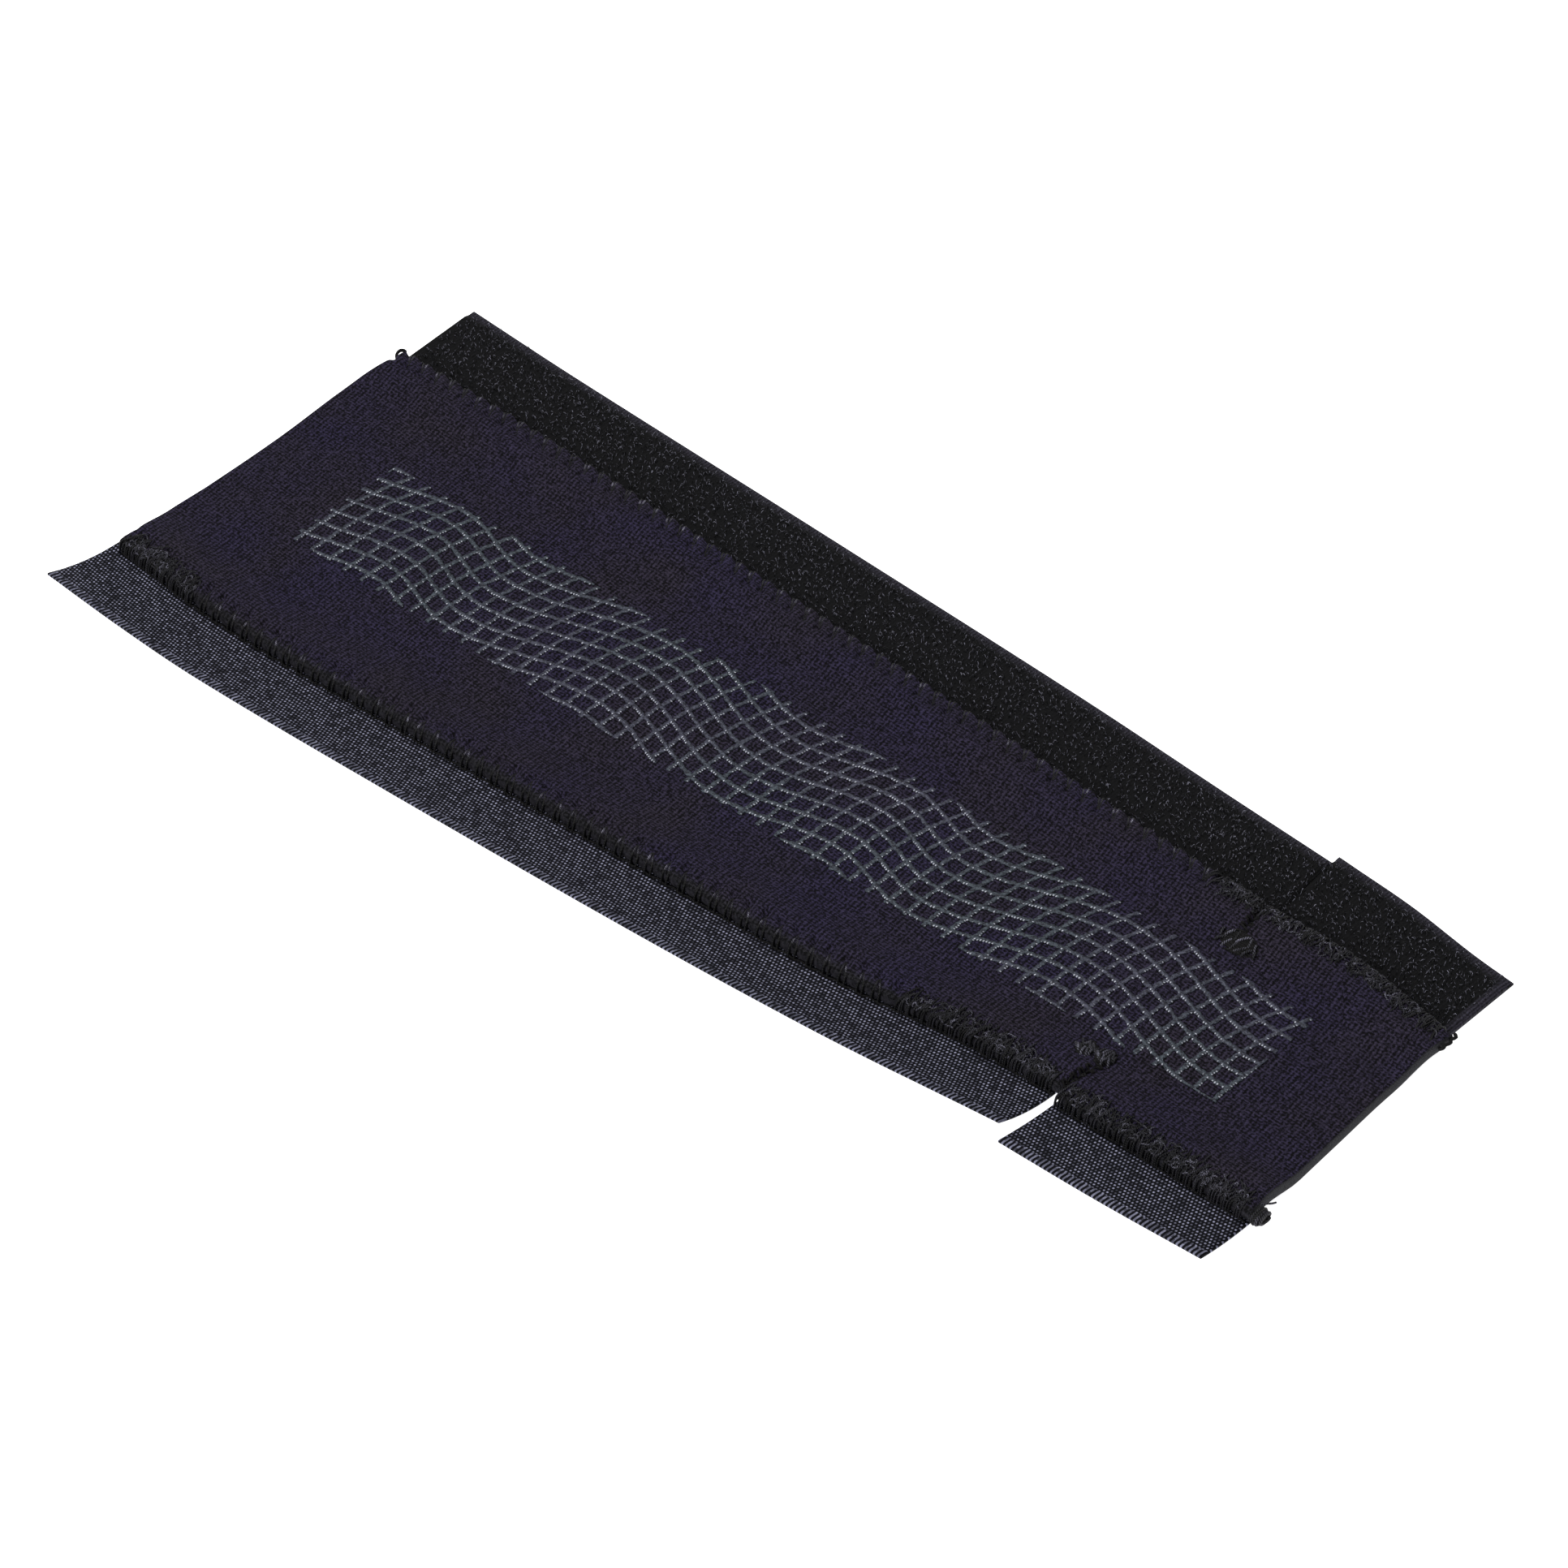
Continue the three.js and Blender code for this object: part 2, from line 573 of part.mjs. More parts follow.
function add(name, geometry, material) {
  const mesh = new THREE.Mesh(geometry, material);
  mesh.name = name;
  protector.add(mesh);
}

add('neoprene_panel', buildPanel(), jersey);
add('print_net', buildNet(), print);
add('loop_tape_main', buildTape({
  seam: UPPER_SEAM,
  outer: LOOP_OUTER_MAIN,
  start: LOOP_LEFT_END,
  end: shifted(LOOP_SPLIT, -LOOP_GAP / 2),
  section: loopSection(),
}), pile);
add('loop_tape_end', buildTape({
  seam: UPPER_SEAM,
  outer: LOOP_OUTER_END,
  start: shifted(LOOP_SPLIT, LOOP_GAP / 2),
  end: LOOP_RIGHT_END,
  section: loopSection(),
}), pile);
add('hook_tape_main', buildTape({
  seam: LOWER_SEAM_MAIN,
  outer: HOOK_OUTER_MAIN,
  start: HOOK_LEFT_END,
  end: shifted(HOOK_SPLIT, -HOOK_GAP / 2),
  section: hookSection(),
  curl: HOOK_CURL_MAIN,
}), woven);
add('hook_tape_end', buildTape({
  seam: LOWER_SEAM_END,
  outer: HOOK_OUTER_END,
  start: shifted(HOOK_SPLIT, HOOK_GAP / 2),
  end: HOOK_RIGHT_END,
  section: hookSection(),
  curl: HOOK_CURL_END,
}), woven);
add('upper_seam_thread', buildUpperSeamThread(), sewing);
add('lower_seam_thread', buildLowerSeamThread(), sewing);
add('upper_dart_stitch', buildDartStitch({
  x: UPPER_DART_X,
  edge: UPPER_SEAM(UPPER_DART_X),
  length: UPPER_DART_LENGTH,
  tackDrift: UPPER_TACK_DRIFT,
  tackInset: UPPER_TACK_INSET,
}), sewing);
add('lower_dart_stitch', buildDartStitch({
  x: LOWER_DART_X,
  edge: LOWER_SEAM_MAIN(LOWER_DART_X),
  length: LOWER_DART_LENGTH,
  tackDrift: LOWER_TACK_DRIFT,
  tackInset: LOWER_TACK_INSET,
}), sewing);
add('thread_tail', buildThreadTail(), sewing);

// The origin is the middle of the footprint, on the surface the protector lies on

const extent = new THREE.Box3().setFromObject(protector);
const middle = extent.getCenter(new THREE.Vector3());
protector.position.set(-middle.x, -middle.y, 0);
protector.updateMatrixWorld(true);

export default protector;
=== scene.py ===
from functools import partial

import bpy
import numpy as np
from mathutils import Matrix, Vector


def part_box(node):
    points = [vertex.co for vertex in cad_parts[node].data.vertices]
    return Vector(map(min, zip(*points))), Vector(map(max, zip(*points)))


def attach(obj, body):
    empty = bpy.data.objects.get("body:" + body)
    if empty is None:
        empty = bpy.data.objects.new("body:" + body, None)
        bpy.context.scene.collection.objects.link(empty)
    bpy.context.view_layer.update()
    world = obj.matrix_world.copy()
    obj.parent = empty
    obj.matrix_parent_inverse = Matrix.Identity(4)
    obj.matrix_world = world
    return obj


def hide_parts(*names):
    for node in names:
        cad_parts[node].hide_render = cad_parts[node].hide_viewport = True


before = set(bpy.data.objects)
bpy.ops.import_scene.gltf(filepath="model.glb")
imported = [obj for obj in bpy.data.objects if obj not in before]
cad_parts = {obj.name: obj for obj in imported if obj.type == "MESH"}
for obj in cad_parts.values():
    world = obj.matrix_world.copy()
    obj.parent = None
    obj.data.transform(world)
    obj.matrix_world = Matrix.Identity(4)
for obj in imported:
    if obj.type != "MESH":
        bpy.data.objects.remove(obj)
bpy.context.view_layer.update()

# The studio: a white ground under a wide softbox, a weaker fill and a pale room, seen through a long lens
# from above the near corner. The ground glows like an overexposed sweep, and black cloth keeps its relief.

CAMERA_PLACE = (0.5590, -0.6068, 0.7540)
CAMERA_TARGET = (0.0011, -0.0020, 0)
VIEW_DEGREES = 14
ROOM_STRENGTH = 0.26
SOFTBOX_PLACE = (-0.5, 0.42, 1.22)
SOFTBOX_SIZE = 0.8
SOFTBOX_WATTS = 12
FILL_PLACE = (0.1, -1.0, 0.75)
FILL_SIZE = 0.7
FILL_WATTS = 11
GROUND_SIZE = 12
GROUND_DROP = 0.00002
GROUND_GLOW = 0.95


def linear(colour):
    """The linear red, green, blue and alpha of an sRGB colour written '#rrggbb'."""
    parts = np.array([int(colour[place:place + 2], 16) for place in (1, 3, 5)]) / 255
    parts = np.where(parts <= 0.04045, parts / 12.92, ((parts + 0.055) / 1.055) ** 2.4)
    return (*parts.tolist(), 1.0)


def wire(made, inputs):
    """Gives a node's sockets, by name or number, a value or a link. Another node is linked by its first
    output in use."""
    for socket, value in inputs.items():
        if isinstance(value, bpy.types.Node):
            value = next(output for output in value.outputs if output.enabled)
        if isinstance(value, bpy.types.NodeSocket):
            made.id_data.links.new(value, made.inputs[socket])
        else:
            made.inputs[socket].default_value = value


def add_node(tree, kind, inputs=None, **settings):
    """Adds a shader node with its settings and its inputs."""
    made = tree.nodes.new("ShaderNode" + kind)
    for name, value in settings.items():
        setattr(made, name, value)
    wire(made, inputs or {})
    return made


def new_material(name, **shader):
    """A material, the function that adds a node to it, and its shader. The shader's sockets are named with _
    for a space."""
    material = bpy.data.materials.new(name)
    material.use_nodes = True
    surface = material.node_tree.nodes["Principled BSDF"]
    wire(surface, {socket.replace("_", " "): value for socket, value in shader.items()})
    return material, partial(add_node, material.node_tree), surface


def aim(thing, place, target):
    """Puts a camera or light at a place, facing the target."""
    thing.location = place
    thing.rotation_euler = (Vector(target) - Vector(place)).to_track_quat("-Z", "Y").to_euler()
    bpy.context.scene.collection.objects.link(thing)


lens = bpy.data.cameras.new("long_lens")
lens.sensor_fit = "HORIZONTAL"
lens.angle = np.radians(VIEW_DEGREES)
camera = bpy.data.objects.new("camera", lens)
aim(camera, CAMERA_PLACE, CAMERA_TARGET)
bpy.context.scene.camera = camera

for name, watts, size, place in (("softbox", SOFTBOX_WATTS, SOFTBOX_SIZE, SOFTBOX_PLACE),
                                 ("fill_light", FILL_WATTS, FILL_SIZE, FILL_PLACE)):
    lamp = bpy.data.lights.new(name, "AREA")
    lamp.size = size
    lamp.energy = watts
    aim(bpy.data.objects.new(name, lamp), place, (0, 0, 0))

room = bpy.data.worlds.new("pale_room")
room.use_nodes = True
wire(room.node_tree.nodes["Background"], {"Color": (1, 1, 1, 1), "Strength": ROOM_STRENGTH})
bpy.context.scene.world = room
bpy.context.scene.view_settings.view_transform = "Standard"

corners = GROUND_SIZE / 2 * np.array([(-1, -1), (1, -1), (1, 1), (-1, 1)])
ground_mesh = bpy.data.meshes.new("ground")
ground_mesh.from_pydata([(x, y, -GROUND_DROP) for x, y in corners.tolist()], [], [(0, 1, 2, 3)])
ground = bpy.data.objects.new("ground", ground_mesh)
bpy.context.scene.collection.objects.link(ground)
white_card, _, _ = new_material("white_card", Base_Color=(0.8, 0.8, 0.8, 1), Roughness=0.9,
                                Emission_Color=(1, 1, 1, 1), Emission_Strength=GROUND_GLOW)
ground_mesh.materials.append(white_card)

# The panel: two knitted jerseys bonded to a black neoprene foam, cut to a taper. Its long edges lie on the
# tapes and are pulled down by the seams, stitch by stitch, and its two ends are cut raw.

MM = 0.001

CLEARANCE = 0.3
PANEL_THICKNESS = 2.5
PANEL_EDGE_THICKNESS = 2.0
PINCH_WIDTH = 4.5
RAMP_WIDTH = 10
TAPE_SEAM_HEIGHT = 1.5
PANEL_SEAM_BASE = TAPE_SEAM_HEIGHT + CLEARANCE


def curve(*points):
    """A smooth function through points (a, b). Between two points it is a cubic, and its slope at a point is
    that of the chord between the neighbours; past the ends it goes on straight."""
    a, b = np.array(points, float).T
    before = np.maximum(np.arange(len(a)) - 1, 0)
    after = np.minimum(np.arange(len(a)) + 1, len(a) - 1)
    slope = (b[after] - b[before]) / (a[after] - a[before])

    def at(place):
        place = np.asarray(place, float)
        i = np.clip(np.searchsorted(a, place) - 1, 0, len(a) - 2)
        span = a[i + 1] - a[i]
        t = np.clip((place - a[i]) / span, 0, 1)
        past = place - a[i] - t * span
        rise = span * t * (1 - t) * (slope[i] * (1 - t) - slope[i + 1] * t)
        level = b[i] + (b[i + 1] - b[i]) * t * t * (3 - 2 * t)
        return level + rise + past * np.where(t < 1, slope[i], slope[i + 1])

    return at


UPPER_SEAM = curve((-127.6, 32.8), (-87, 32.5), (-27, 30.3), (33, 28), (90, 26), (108, 26.1), (131.2, 22.6))
LOWER_SEAM_MAIN = curve((-127.6, -41.2), (-98, -43.2), (-58, -41.7), (1, -38.5), (45, -36), (71, -32.5),
                        (89.6, -31.4))
LOWER_SEAM_END = curve((90.6, -33.1), (111, -32.6), (132.6, -32.3))
PANEL_LEFT_END = curve((-41.2, -125.8), (-36.7, -125.3), (-33.4, -125.5), (-27, -126.4), (-20, -126.2),
                       (0, -126.7), (17, -128), (21.6, -127.9), (28.3, -126.5), (32.8, -126.3))
PANEL_RIGHT_END = curve((-32.3, 132.6), (-8, 131.2), (9, 130.4), (22.6, 131.2))
PANEL_REACH = (132.6, 32.8)       # the panel's furthest point along and across, in the drawing
UPPER_CORNERS_Y = (32.8, 22.6)    # of the panel, at its left and right end
LOWER_CORNERS_Y = (-41.2, -32.3)
UPPER_LAST_STITCH_Y = 22.9
FIRST_STITCH = 1                  # in from the left end
UPPER_DART_X = 88.4
UPPER_DART_LENGTH = 7
LOWER_DART_X = 91.3
LOWER_DART_LENGTH = 8.5
DART_DRIFT = 0.9
DART_FOLD_WIDTH = 0.45
DART_FOLD_DEPTH = 1.3
DART_TIP = 1                      # over which the fold fades, up to its end
DART_GAP = 1                      # that the lower seam leaves on either side

STITCH_PITCH = 3.55
STITCH_DEPTH = 3.3
STITCH_LEAN = 2.3
OVERLOCK_PITCH = 1.9
OVERLOCK_DEPTH = 4.0
OVERLOCK_LEAN = 1.1
OVERLOCK_GROOVE = 0.12
OVERLOCK_MARGIN = 0.9             # that it leaves at the right end
UPPER_OVERLOCK_START = 78
LOWER_OVERLOCK_START = 58
BACKSTITCH_LENGTH = 20
GROOVE_WIDTH = 0.55
GROOVE_DEPTH = 0.42
FADE_WIDTH = 1.5                  # past a needle hole or a dart's tip
HOLE_WIDTH = 0.75
HOLE_DEPTH = 0.5
SWELL = 0.16
RIM_WIDTH = 0.8
RIM_DROP = 0.5
EDGE_PULL = 0.28
EDGE_PULL_WIDTH = 0.8
EDGE_PULL_REACH = 2.2
COLUMN_SPACING = 0.5

_, far_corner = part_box("neoprene_panel")
drawing_shift = np.array([far_corner.x / MM - PANEL_REACH[0], far_corner.y / MM - PANEL_REACH[1], 0])


def smooth(share):
    """Smooth step from 0 to 1, 3 s^2 - 2 s^3, held at both ends."""
    share = np.clip(share, 0, 1)
    return share * share * (3 - 2 * share)


def lower_seam(x):
    """The lower seam's line, which steps outwards at the dart."""
    return np.where(x < LOWER_DART_X, LOWER_SEAM_MAIN(x), LOWER_SEAM_END(x))


def panel_base(inset):
    """Height of the panel's underside: on the tape at the edge, and down on the ground past the ramp."""
    return PANEL_SEAM_BASE * (1 - smooth((inset - PINCH_WIDTH) / RAMP_WIDTH))


def panel_face(inset):
    """Height of its face: the foam gets its full thickness where the seam's pull ends."""
    pulled = 1 - smooth(inset / PINCH_WIDTH)
    return panel_base(inset) + PANEL_THICKNESS + (PANEL_EDGE_THICKNESS - PANEL_THICKNESS) * pulled


def stitch_row(first, last, pitch, depth, lean, groove):
    """One run of like stitches: where each one starts at the edge, and how it lies."""
    count = round((last - first) / pitch)
    return {"first": first, "count": count, "pitch": (last - first) / count, "depth": depth, "lean": lean,
            "groove": groove}


upper_left = float(PANEL_LEFT_END(UPPER_CORNERS_Y[0])) + FIRST_STITCH
upper_right = float(PANEL_RIGHT_END(UPPER_LAST_STITCH_Y)) - OVERLOCK_MARGIN
lower_left = float(PANEL_LEFT_END(LOWER_CORNERS_Y[0])) + FIRST_STITCH
lower_right = float(PANEL_RIGHT_END(LOWER_CORNERS_Y[1])) - OVERLOCK_MARGIN
plain = (STITCH_PITCH, STITCH_DEPTH, STITCH_LEAN, GROOVE_DEPTH)
lower_plain = (STITCH_PITCH, STITCH_DEPTH, -STITCH_LEAN, GROOVE_DEPTH)
overlocked = (OVERLOCK_PITCH, OVERLOCK_DEPTH, OVERLOCK_LEAN, OVERLOCK_GROOVE)
upper_rows = [
    stitch_row(upper_left, UPPER_OVERLOCK_START, *plain),
    stitch_row(UPPER_OVERLOCK_START, upper_right, *overlocked),
]
lower_rows = [
    stitch_row(lower_left, lower_left + BACKSTITCH_LENGTH, *overlocked),
    stitch_row(lower_left + BACKSTITCH_LENGTH, LOWER_OVERLOCK_START, *lower_plain),
    stitch_row(LOWER_OVERLOCK_START, LOWER_DART_X - DART_GAP, *overlocked),
    stitch_row(LOWER_DART_X + DART_GAP, lower_right, *overlocked),
]


def held_at(x, row):
    """Whether x is in a run of stitches, with half a stitch more at each end."""
    return (x > row["first"] - 0.5 * row["pitch"]) & (x < row["first"] + (row["count"] + 0.5) * row["pitch"])


def off_stitch(x, row):
    """How far x is from the nearest stitch of a run."""
    off = (x - row["first"]) / row["pitch"]
    return (off - np.round(off)) * row["pitch"]


def seam_relief(x, inset, rows):
    """Height that the stitches add to the face. Each leg presses a groove, a bell across its line, into the
    face from the edge in to its needle hole, the hole is a round bell, and the foam swells between legs."""
    relief = np.zeros(np.broadcast(x, inset).shape)
    for row in rows:
        off = off_stitch(x - row["lean"] * np.clip(inset / row["depth"], 0, 1), row)
        inside = 1 - smooth((inset - row["depth"]) / FADE_WIDTH)
        groove = row["groove"] * np.exp(-(off / GROOVE_WIDTH) ** 2) * inside
        hole_depth = HOLE_DEPTH / GROOVE_DEPTH * row["groove"]
        hole = hole_depth * np.exp(-(off ** 2 + (inset - row["depth"]) ** 2) / HOLE_WIDTH ** 2)
        swell = SWELL * (1 - np.cos(2 * np.pi * off / row["pitch"])) / 2 * inside
        relief += np.where(held_at(x, row), swell - groove - hole, 0)
    return relief


def edge_pull(x, inset, rows):
    """How far the stitches pull the edge inwards at x: a bell at each, which fades from the edge in."""
    pull = np.zeros(x.shape)
    for row in rows:
        pull += np.where(held_at(x, row), EDGE_PULL * np.exp(-(off_stitch(x, row) / EDGE_PULL_WIDTH) ** 2), 0)
    return pull * (1 - smooth(inset / EDGE_PULL_REACH))


def dart_fold(x, inset, dart_x, length):
    """Depth of a dart's sewn fold, a narrow bell across its line that fades at the tip."""
    line = dart_x + DART_DRIFT * inset / length
    fade = 1 - smooth((inset - length + DART_TIP) / FADE_WIDTH)
    return DART_FOLD_DEPTH * np.exp(-((x - line) / DART_FOLD_WIDTH) ** 2) * fade


def face_height(x, upper_inset, lower_inset):
    """Height of the sewn face at x, with its distances in from the two long edges."""
    inset = np.minimum(upper_inset, lower_inset)
    rim = RIM_DROP * (1 - np.sqrt(1 - (1 - np.clip(inset / RIM_WIDTH, 0, 1)) ** 2))
    return (panel_face(inset) - rim
            + seam_relief(x, upper_inset, upper_rows) + seam_relief(x, lower_inset, lower_rows)
            - dart_fold(x, upper_inset, UPPER_DART_X, UPPER_DART_LENGTH)
            - dart_fold(x, lower_inset, LOWER_DART_X, LOWER_DART_LENGTH))


def new_piece(name, points, faces, materials, uvs, face_materials=None):
    """A smooth-shaded mesh piece from drawing points in millimetres and lists of faces. uvs gives each of its
    UV maps a pair of numbers per point."""
    mesh = bpy.data.meshes.new(name)
    mesh.from_pydata(((points + drawing_shift) * MM).tolist(), [], faces)
    for material in materials:
        mesh.materials.append(material)
    mesh.polygons.foreach_set("use_smooth", np.ones(len(faces), bool))
    if face_materials is not None:
        mesh.polygons.foreach_set("material_index", face_materials.astype(np.int32))
    corners = np.empty(len(mesh.loops), np.int32)
    mesh.loops.foreach_get("vertex_index", corners)
    for layer, uv in uvs.items():
        mesh.uv_layers.new(name=layer).data.foreach_set("uv", uv[corners].astype(np.float32).ravel())
    piece = bpy.data.objects.new(name, mesh)
    bpy.context.scene.collection.objects.link(piece)
    return piece


def cloth(name, face, underside, wall_rows, wall_swell, materials, uvs):
    """A closed piece of cloth. face and underside are grids of points [along, across], which rise along +X
    and +Y. Between their borders goes a wall, straight lines down with a half sine of swell outwards. The
    first material is for the faces, the second for the long walls and the third for the end walls."""
    along, across = face.shape[:2]
    index = np.arange(along * across).reshape(along, across)
    a, b, c, d = index[:-1, :-1], index[1:, :-1], index[1:, 1:], index[:-1, 1:]
    top = np.stack([a, b, c, d], -1).reshape(-1, 4)
    bottom = top[:, ::-1] + along * across
    border = np.concatenate([index[:-1, 0], index[-1, :-1], index[:0:-1, -1], index[0, :0:-1]])
    upper, lower = face.reshape(-1, 3)[border], underside.reshape(-1, 3)[border]
    tangent = np.roll(upper, -1, 0) - np.roll(upper, 1, 0)
    outwards = np.stack([tangent[:, 1], -tangent[:, 0], 0 * tangent[:, 0]], -1)
    outwards /= np.linalg.norm(outwards, axis=1, keepdims=True)
    rings, points = [border], [face.reshape(-1, 3), underside.reshape(-1, 3)]
    for row in range(1, wall_rows):
        share = row / wall_rows
        rings.append(2 * along * across + (row - 1) * len(border) + np.arange(len(border)))
        points.append(upper + (lower - upper) * share + outwards * wall_swell * np.sin(np.pi * share))
    rings.append(border + along * across)
    walls = [np.stack([high, low, np.roll(low, -1), np.roll(high, -1)], -1)
             for high, low in zip(rings, rings[1:])]
    end = np.zeros(len(border), int)
    end[along - 1:along + across - 2] = 1
    end[2 * along + across - 3:] = 1
    kinds = np.concatenate([np.zeros(2 * len(top), int), np.tile(1 + end, wall_rows)])
    faces = np.concatenate([top, bottom, *walls]).tolist()
    flats = {layer: uv.reshape(-1, 2) for layer, uv in uvs.items()}
    uvs = {layer: np.concatenate([flat, flat] + [flat[border]] * (wall_rows - 1))
           for layer, flat in flats.items()}
    return new_piece(name, np.concatenate(points), faces, materials, uvs, kinds)


def wave(add, place, pitch):
    """A pattern's sine, which turns once over each pitch of its place."""
    turn = add("Math", {0: place, 1: 2 * np.pi / pitch}, operation="MULTIPLY")
    return add("Math", {0: turn}, operation="SINE")


# Polyester jersey, circular knitted and dyed almost black: matt, with fine wales that catch the light as
# violet dashes.

WALE_PITCH = 0.89
COURSE_PITCH = 0.62
WALE_LEAN = 0.13
WALE_WOBBLE = 0.25
COURSE_WEIGHT = 0.8               # in the knit's height, beside the wales' 1
GRAIN_WEIGHT = 20.0
SEWN_BAND = 1.3                   # of the near edge that the stitches have greyed
jersey, add, surface = new_material("violet_black_jersey", Roughness=0.85, Specular_IOR_Level=0.12)
place = add("TexCoord").outputs["Object"]
in_mm = add("VectorMath", {0: place, "Scale": 1 / MM}, operation="SCALE")
split = add("SeparateXYZ", {0: in_mm})
leaning = add("Math", {0: split.outputs["Y"], 1: WALE_LEAN, 2: split.outputs["X"]}, operation="MULTIPLY_ADD")
wobble = add("TexNoise", {"Vector": in_mm, "Scale": 0.25, "Detail": 2.0})
wobbled = add("Math", {0: wobble, 1: WALE_WOBBLE, 2: leaning}, operation="MULTIPLY_ADD")
wale = wave(add, wobbled, WALE_PITCH)
course = wave(add, split.outputs["Y"], COURSE_PITCH)
grain = add("TexNoise", {"Vector": in_mm, "Scale": 2.1, "Detail": 3.0, "Roughness": 0.85})
knit = add("Math", {0: course, 1: COURSE_WEIGHT, 2: wale}, operation="MULTIPLY_ADD")
knit_height = add("Math", {0: grain, 1: GRAIN_WEIGHT, 2: knit}, operation="MULTIPLY_ADD")
shade = add("MapRange", {0: knit_height, 1: 8.6, 2: 12.6})
patches = add("TexNoise", {"Vector": in_mm, "Scale": 0.05, "Detail": 3.0})
violet = add("MapRange", {0: patches, 1: 0.35, 2: 0.65})
lit = add("Mix", {0: violet, 6: linear("#403a4b"), 7: linear("#3e3856")}, data_type="RGBA")
knitted = add("Mix", {0: shade, 6: linear("#040306"), 7: lit}, data_type="RGBA")
seams = add("UVMap", uv_map="seams")
from_seam = add("SeparateXYZ", {0: seams})
ragged = add("Math", {0: grain, 1: 3.0, 2: from_seam.outputs["X"]}, operation="MULTIPLY_ADD")
greyed = add("MapRange", {0: ragged, 1: SEWN_BAND + 1, 2: SEWN_BAND + 2.4, 3: 1.0, 4: 0.0})
matted = add("Mix", {0: shade, 6: linear("#08080a"), 7: linear("#313035")}, data_type="RGBA")
colour = add("Mix", {0: greyed, 6: knitted, 7: matted}, data_type="RGBA")
bump = add("Bump", {"Height": knit_height, "Strength": 0.8, "Distance": 0.00006})
wire(surface, {"Base Color": colour, "Normal": bump})

# The foam's edge under a row of looped threads: black and matt, with fibres across it, and painted lighter
# low down to offset the shade there.

WALL_SHADE_TOP = 3.6
sewn_edge, add, surface = new_material("thread_wrapped_foam", Roughness=0.95, Specular_IOR_Level=0.08)
place = add("TexCoord").outputs["Object"]
matted = add("TexNoise", {"Vector": place, "Scale": 1400, "Detail": 4.0, "Roughness": 0.7})
fibre = add("MapRange", {0: matted, 1: 0.35, 2: 0.7})
height = add("SeparateXYZ", {0: place}).outputs["Z"]
# Painted light: the wall is lighter towards its foot, to offset the shade that gathers there.
painted_light_low_down = add("MapRange", {0: height, 1: PANEL_SEAM_BASE * MM, 2: WALL_SHADE_TOP * MM, 3: 0.3, 4: 0.0})
shade = add("Math", {0: fibre, 1: painted_light_low_down}, operation="ADD")
colour = add("Mix", {0: shade, 6: linear("#09090b"), 7: linear("#323137")}, data_type="RGBA",
              clamp_factor=False)
bump = add("Bump", {"Height": matted, "Strength": 0.8, "Distance": 0.0004})
wire(surface, {"Base Color": colour, "Normal": bump})

# Closed-cell neoprene, knife cut: a paler grey band of fine cells between the two jerseys.

cut_foam, add, surface = new_material("cut_neoprene_foam", Roughness=0.8, Specular_IOR_Level=0.15)
place = add("TexCoord").outputs["Object"]
cells = add("TexVoronoi", {"Vector": place, "Scale": 4200})
shade = add("MapRange", {0: cells, 1: 0.1, 2: 0.8})
colour = add("Mix", {0: shade, 6: linear("#323237"), 7: linear("#19191c")}, data_type="RGBA")
bump = add("Bump", {"Height": cells, "Strength": 0.6, "Distance": 0.0002}, invert=True)
wire(surface, {"Base Color": colour, "Normal": bump})

# The panel's grid has close rows beside its long edges, where the stitches are, and even ones in its middle.

EDGE_INSETS = np.array([0, 0.2, 0.45, 0.75, 1.1, 1.5, 1.9, 2.3, 2.7, 3.1, 3.5, 3.9, 4.4, 5, 5.8, 7, 8.6,
                        10.4, 12.4])
MIDDLE_ROWS = 13
WALL_ROWS = 5
WALL_SWELL = 0.12

left, right = float(PANEL_LEFT_END(0)), float(PANEL_RIGHT_END(0))
station = np.linspace(left, right, round((right - left) / COLUMN_SPACING) + 1)[:, None]
low, high = lower_seam(station), UPPER_SEAM(station)
flat = PINCH_WIDTH + RAMP_WIDTH
middle = (low + flat) + (high - low - 2 * flat) * np.linspace(0, 1, MIDDLE_ROWS)
y = np.concatenate([low + EDGE_INSETS, middle, high - EDGE_INSETS[::-1]], axis=1)
share = (station - left) / (right - left)
end_offset = (PANEL_LEFT_END(y) - left) * (1 - share) + (PANEL_RIGHT_END(y) - right) * share
x = station + end_offset * np.abs(2 * share - 1) ** 3
pulled_y = y + edge_pull(x, y - low, lower_rows) - edge_pull(x, high - y, upper_rows)
top = np.stack([x, pulled_y, face_height(x, high - y, y - low)], -1)
under = np.stack([x, pulled_y, panel_base(np.minimum(high - y, y - low))], -1)
panel = cloth("neoprene_panel_cloth", top, under, WALL_ROWS, WALL_SWELL, [jersey, sewn_edge, cut_foam],
              {"seams": np.stack([y - low, high - y], -1)})
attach(panel, "root")
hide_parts("neoprene_panel")

# The print: a net of silvery ink, pressed on the jersey as a thin film. Its long lines swing in waves and its
# cross lines lean, and both stop short at the edges of the printed window.

NET_THICKNESS = 0.2
NET_CROSS_DROP = 0.02             # that the cross lines are thinner, so that no two faces lie in one plane
NET_LINE = 0.84
NET_RAGGED = 0.15                 # how far the ink's edge strays, either way
NET_SLIVER = 0.15                 # a narrower strip of a line isn't printed
NET_STEP = 0.45
NET_ROWS = range(-6, 6)
NET_COLUMNS = range(-27, 28)
NET_ROW_PITCH = 4.0
NET_COLUMN_PITCH = 4.205
NET_ROW_OFFSET = -2.16
NET_COLUMN_OFFSET = 1.75
NET_LEAN = 0.0083
NET_LEAN_START = -11.5
NET_LEFT, NET_RIGHT = -104.7, 111.7
NET_LOW = (-18.7, -15.6)          # at its left and right end
NET_HIGH = (8.4, 10.4)
NET_BULGE = 0.6                   # the window is this much taller, up and down, in its middle
